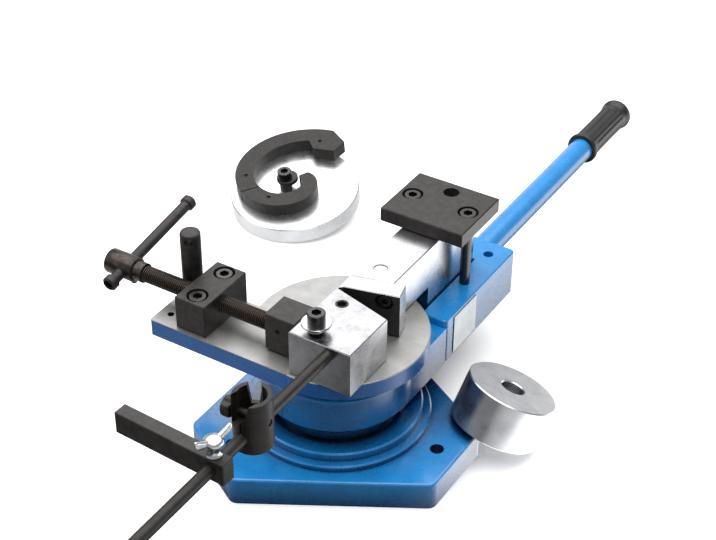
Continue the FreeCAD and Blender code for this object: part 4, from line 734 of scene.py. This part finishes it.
def grip_profile():
    """Stations and radii along the grip, with its lip, its barrel and its end flange.

    Straight lines join the marks, and 40 more stations along the barrel carry the flutes.
    """
    marks = np.array([0, 0.6, 1.6, 4.0, 5.2, 6.8, 30, 55, 84, 86, 88.5, 91, 93.5, 95, 95.8, 96, 96])
    radii = np.array([16.6, 17.3, 17.5, 17.5, 17.0, 15.6, 15.3, 15.3, 15.6, 16.2, 17.3, 17.7, 17.4, 16.4,
                      14.5, 8, 0])
    length = grip_end - grip_start
    fine = np.unique(np.concatenate([marks, np.linspace(7, 84, 40)]))
    smooth = np.interp(fine, marks, radii)
    stations = np.concatenate([[0], fine, [marks[-1]]]) * length / marks[-1]
    return grip_start + stations, np.concatenate([[MOUTH_RADIUS], smooth, [0]])


piece_from("grip_moulded", [lathe(*grip_profile(), GRIP_CENTRE, "y", 144, flutes)], RUBBER, "lever",
           ["lever_grip"], sharp=60)
tube_start = tube_low.y / MM
tube_end = tube_high.y / MM
tube = lathe([tube_start, tube_start, tube_end, tube_end], [0, TUBE_RADIUS, TUBE_RADIUS, 0], GRIP_CENTRE,
             "y")
piece_from("tube_painted", [tube], ENAMEL, "lever", ["lever_tube"])

# %% [markdown]
# The wing screw is a small zinc casting. Its hub is turned, and each wing is swept outwards. The
# section is a superellipse, x = a c^p and y = b s^p for c and s the cosine and sine of the angle, each
# with its sign kept. Its height grows along the wing, and both its sizes close at the tip.

# %% The wing screw
wing_low, wing_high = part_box("wing_screw")
wing_foot = wing_low.z / MM
bar_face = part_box("stop_bar")[1].z / MM
HUB = Vector(((wing_low.x + wing_high.x) / 2, (wing_low.y + wing_high.y) / 2, 0))
WING_TURN = math.radians(75)
WING_ROOT = 3
WING_TIP = 18.6
WING_LIFT = 14.2
WING_RISE = 5.2
WING_ROWS = 26
WING_SIDES = 28
WING_POWER = 0.7
TIP_START = 0.82


def wing_surface(side):
    """One wing, from inside the hub to its rounded tip, rising as it goes out.

    side is 0 or 1, half a turn apart. Half its height grows from 2.6 to 4.5 mm and half its thickness
    falls from 2.3 to 1.8 mm. Past TIP_START of the way both close as a quarter circle.
    """
    travel = np.linspace(0, 1, WING_ROWS)
    out = WING_ROOT + (WING_TIP - WING_ROOT) * travel
    rise = bar_face + WING_LIFT + WING_RISE * travel ** 1.3
    tip = np.clip((travel - TIP_START) / (1 - TIP_START), 0, 1)
    close = np.sqrt(np.clip(1 - tip ** 2, 0, 1))
    tall = (2.6 + 1.9 * travel) * close
    thick = (2.3 - 0.5 * travel) * close
    angle = np.linspace(0, 2 * np.pi, WING_SIDES, endpoint=False)
    around = np.sign(np.cos(angle)) * np.abs(np.cos(angle)) ** WING_POWER
    upward = np.sign(np.sin(angle)) * np.abs(np.sin(angle)) ** WING_POWER
    heading = WING_TURN + side * np.pi
    ahead = np.array([math.cos(heading), math.sin(heading), 0])
    beside = np.array([-math.sin(heading), math.cos(heading), 0])
    grid = (out[:, None, None] * ahead + (thick[:, None] * around)[..., None] * beside
            + (rise[:, None] + tall[:, None] * upward)[..., None] * np.array([0, 0, 1]))
    centre = grid.mean(axis=1, keepdims=True).repeat(WING_SIDES, axis=1)
    return np.concatenate([centre[:1], grid, centre[-1:]]) * MM + np.array(HUB)


hub = lathe(np.array([0, 0, 5.2, 5.3, 6.1, 8.2, 11.6, 14, 16.2, 18.6, 20.6, 22, 22.7, 22.8]) + wing_foot,
            [0, 2.9, 2.9, 6.3, 6.6, 5.1, 4.9, 6.2, 8.0, 8.6, 7.9, 5.9, 3.0, 0], HUB, "z", 64)
piece_from("wing_screw_cast", [hub, wing_surface(0), wing_surface(1)], ZINC, "wing",
           ["wing_screw"], sharp=50)

# %% [markdown]
# The pinch screw's knob is lobed: its radius falls and rises six times round, as R - a (1 + cos 6 t),
# over the knob's own length only, and its plain shank crosses the rest.

# %% The pinch knob
knob_low, knob_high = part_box("pinch_knob")
KNOB_CENTRE = Vector((0, (knob_low.y + knob_high.y) / 2, (knob_low.z + knob_high.z) / 2))
KNOB_LENGTH = 9
SHANK_END = 42.4
LOBES = 6
LOBE_DEPTH = 0.9
LOBE_FADE = 1.5
knob_start = knob_low.x / MM
knob_end = knob_start + KNOB_LENGTH


def lobes(along, angle):
    """Six lobes that fade out at both faces of the knob."""
    fade = np.clip((along - knob_start) / LOBE_FADE, 0, 1) * np.clip((knob_end - along) / LOBE_FADE, 0, 1)
    return -LOBE_DEPTH * fade * (1 + np.cos(LOBES * angle))


knob_stations = np.array([0, 0, 0.3, 1.2, 3, 4.5, 6, 7.8, 8.7, KNOB_LENGTH, KNOB_LENGTH, SHANK_END,
                          SHANK_END])
knob_radii = [0, 7.2, 8.4, 9.3, 9.45, 9.5, 9.45, 9.3, 8.4, 7.2, 2.9, 2.9, 0]
knob = lathe(knob_start + knob_stations, knob_radii, KNOB_CENTRE, "x", 96, lobes)
piece_from("pinch_knob_lobed", [knob], BLACK, "pinch", ["pinch_knob"], sharp=50)

# %% [markdown]
# The machine stands on a pale sweep in a bright, soft studio. The floor catches faint shadows, with a
# painted contact shadow close under the machine, and goes to white in the distance: the camera sees a
# white world behind it, while the world that lights the machine is dimmer. Glossy faces mirror a grey
# floor with a few bright patches on it, and a white backdrop in one direction. These stand for reflectors
# outside the picture. They were placed by trial to bring the mirrored faces nearer to the photo, only
# glossy reflections show them, and they belong to the stage.

# %% Floor and world
WHITE = hue("#FFFFFF")
FLOOR_REACH = 6.0
FLOOR_DROP = 0.2 * MM
FLOOR_MIRRORED = "#5A5A5A"
FLOOR_BOUNCE = 0.50
FLOOR_GLOW = 0.35
FAR_GLOW = 0.65
FAR_START = 0.9
FAR_END = 2.8
# How far the painted contact shadow on the floor reaches.
CONTACT_REACH = 80 * MM
BACKDROP_WAY = (-0.27, 0.96, 0.08)
ROOM_WHITE = 0.45
BACKDROP_WHITE = 1.9
# Each patch brightens from its first to its second limit along X and along Y, in metres.
FLOOR_PATCHES = (
    {"X": (0.02, 0.16), "Y": (-0.08, 0.04), "glow": 2.6},
    {"X": (0.0, -0.16), "Y": (-0.34, -0.20), "glow": 0.6},
    {"X": (-0.14, -0.20), "Y": (-0.02, 0.08), "glow": 0.3},
    {"X": (0.10, 0.22), "Y": (0.06, -0.06), "glow": 0.8},
)


def bright_patch(tree, place, patch):
    """A corner of the floor that polished faces mirror brightly: two soft steps, multiplied."""
    steps = []
    for axis in ("X", "Y"):
        step = add(tree, "ShaderNodeMapRange", {"interpolation_type": "SMOOTHSTEP"},
                   Value=place.outputs[axis], From_Min=patch[axis][0], From_Max=patch[axis][1])
        steps.append(step.outputs["Result"])
    product = add(tree, "ShaderNodeMath", {"operation": "MULTIPLY"}, i0=steps[0], i1=steps[1])
    glow = add(tree, "ShaderNodeMath", {"operation": "MULTIPLY"}, i0=product.outputs[0], i1=patch["glow"])
    return glow.outputs[0]


def white_paper():
    """Matt white paper. The camera sees it bright and soft shadows on it, and metal mirrors it grey.

    Its glow for the camera is FLOOR_GLOW away from the machine's feet and fades out close under the
    machine, a painted contact shadow, and FAR_GLOW more far off. Its glow in a mirror is the sum of the
    bright patches.
    """
    material, tree, shader, spot = new_material("white_paper_sweep")
    path = add(tree, "ShaderNodeLightPath")
    seen = path.outputs["Is Camera Ray"]
    pale = add(tree, "ShaderNodeMath", {"operation": "MULTIPLY_ADD"}, i0=path.outputs["Is Diffuse Ray"],
               i1=FLOOR_BOUNCE, i2=seen)
    tree.links.new(blend(tree, pale.outputs[0], hue(FLOOR_MIRRORED), hue("#F7F7F7")),
                   shader.inputs["Base Color"])
    place = add(tree, "ShaderNodeSeparateXYZ", Vector=spot)
    patches = 0.0
    for patch in FLOOR_PATCHES:
        patches = add(tree, "ShaderNodeMath", {"operation": "ADD"}, i0=patches,
                      i1=bright_patch(tree, place, patch)).outputs[0]
    mirrored = add(tree, "ShaderNodeMath", {"operation": "MULTIPLY"}, i0=path.outputs["Is Glossy Ray"],
                   i1=patches)
    # Painted contact shadow: the camera's glow fades out where the floor lies close under the machine.
    contact = add(tree, "ShaderNodeAmbientOcclusion", {"samples": 6}, Distance=CONTACT_REACH)
    clear = add(tree, "ShaderNodeMapRange", Value=contact.outputs["AO"], From_Min=0.1, From_Max=0.5,
                To_Max=FLOOR_GLOW)
    away = add(tree, "ShaderNodeVectorMath", {"operation": "LENGTH"}, i0=spot)
    far = add(tree, "ShaderNodeMapRange", {"interpolation_type": "SMOOTHSTEP"},
              Value=away.outputs["Value"], From_Min=FAR_START, From_Max=FAR_END, To_Max=FAR_GLOW)
    own = add(tree, "ShaderNodeMath", {"operation": "ADD"}, i0=clear.outputs["Result"],
              i1=far.outputs["Result"])
    glow = add(tree, "ShaderNodeMath", {"operation": "MULTIPLY_ADD"}, i0=seen, i1=own.outputs[0],
               i2=mirrored.outputs[0])
    shader.inputs["Emission Color"].default_value = WHITE
    tree.links.new(glow.outputs[0], shader.inputs["Emission Strength"])
    shader.inputs["Roughness"].default_value = 0.9
    shader.inputs["Specular IOR Level"].default_value = 0.1
    return material


def pale_floor():
    """A large flat floor just under the machine's lowest point."""
    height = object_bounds()[0].z - FLOOR_DROP
    corners = [(-FLOOR_REACH, -FLOOR_REACH, height), (FLOOR_REACH, -FLOOR_REACH, height),
               (FLOOR_REACH, FLOOR_REACH, height), (-FLOOR_REACH, FLOOR_REACH, height)]
    mesh = bpy.data.meshes.new("floor")
    mesh.from_pydata(corners, [], [(0, 1, 2, 3)])
    mesh.materials.append(white_paper())
    floor = bpy.data.objects.new("floor", mesh)
    bpy.context.scene.collection.objects.link(floor)


def white_world(light, seen):
    """A dim world for lighting, which the camera sees as plain white and polished metal as a grey room.

    The share of white that metal sees is ROOM_WHITE, and rises towards BACKDROP_WHITE round
    BACKDROP_WAY. A share over 1 counts as 1, which gives the white patch a wide flat middle.
    """
    world = bpy.data.worlds.new("studio")
    bpy.context.scene.world = world
    world.use_nodes = True
    tree = world.node_tree
    tree.nodes.clear()
    path = add(tree, "ShaderNodeLightPath")
    heading = add(tree, "ShaderNodeTexCoord").outputs["Generated"]
    behind = add(tree, "ShaderNodeVectorMath", {"operation": "DOT_PRODUCT"}, i0=heading,
                 i1=BACKDROP_WAY)
    share = add(tree, "ShaderNodeMapRange", {"interpolation_type": "SMOOTHSTEP"},
                Value=behind.outputs["Value"], From_Min=0.88, From_Max=0.98, To_Min=ROOM_WHITE,
                To_Max=BACKDROP_WHITE)
    mirrored = add(tree, "ShaderNodeMath", {"operation": "MULTIPLY"}, i0=path.outputs["Is Glossy Ray"],
                   i1=share.outputs["Result"])
    mask = add(tree, "ShaderNodeMath", {"operation": "MAXIMUM"}, i0=path.outputs["Is Camera Ray"],
               i1=mirrored.outputs[0])
    lit = add(tree, "ShaderNodeBackground", Color=WHITE, Strength=light)
    white = add(tree, "ShaderNodeBackground", Color=WHITE, Strength=seen)
    mixed = add(tree, "ShaderNodeMixShader", Fac=mask.outputs[0], i1=lit.outputs[0], i2=white.outputs[0])
    add(tree, "ShaderNodeOutputWorld", Surface=mixed.outputs[0])


pale_floor()
white_world(light=0.04, seen=1.0)

# %% [markdown]
# One big softbox hangs over the machine and makes its top faces the brightest. A second, weaker box
# stands at the camera's left and opens the shadows.

# %% Lamps


def softbox(name, at, aim, width, depth, watts):
    """A rectangular area lamp that looks at a point."""
    data = bpy.data.lights.new(name, "AREA")
    data.shape = "RECTANGLE"
    data.size = width
    data.size_y = depth
    data.energy = watts
    lamp = bpy.data.objects.new(name, data)
    lamp.location = at
    lamp.rotation_euler = (Vector(aim) - Vector(at)).to_track_quat("-Z", "Y").to_euler()
    bpy.context.scene.collection.objects.link(lamp)


softbox("overhead", at=(-0.4, 0.45, 1.6), aim=(-0.4, 0.45, 0), width=3.0, depth=3.0, watts=80)
softbox("left_fill", at=(-1.3, -0.9, 0.9), aim=(-0.02, 0.05, 0.1), width=1.2, depth=1.0, watts=3)

# %% [markdown]
# The picture is shown through the Standard view transform, so the white stays white.

scene = bpy.context.scene
scene.view_settings.view_transform = "Standard"
scene.view_settings.look = "None"
scene.view_settings.exposure = 0
scene.view_settings.gamma = 1
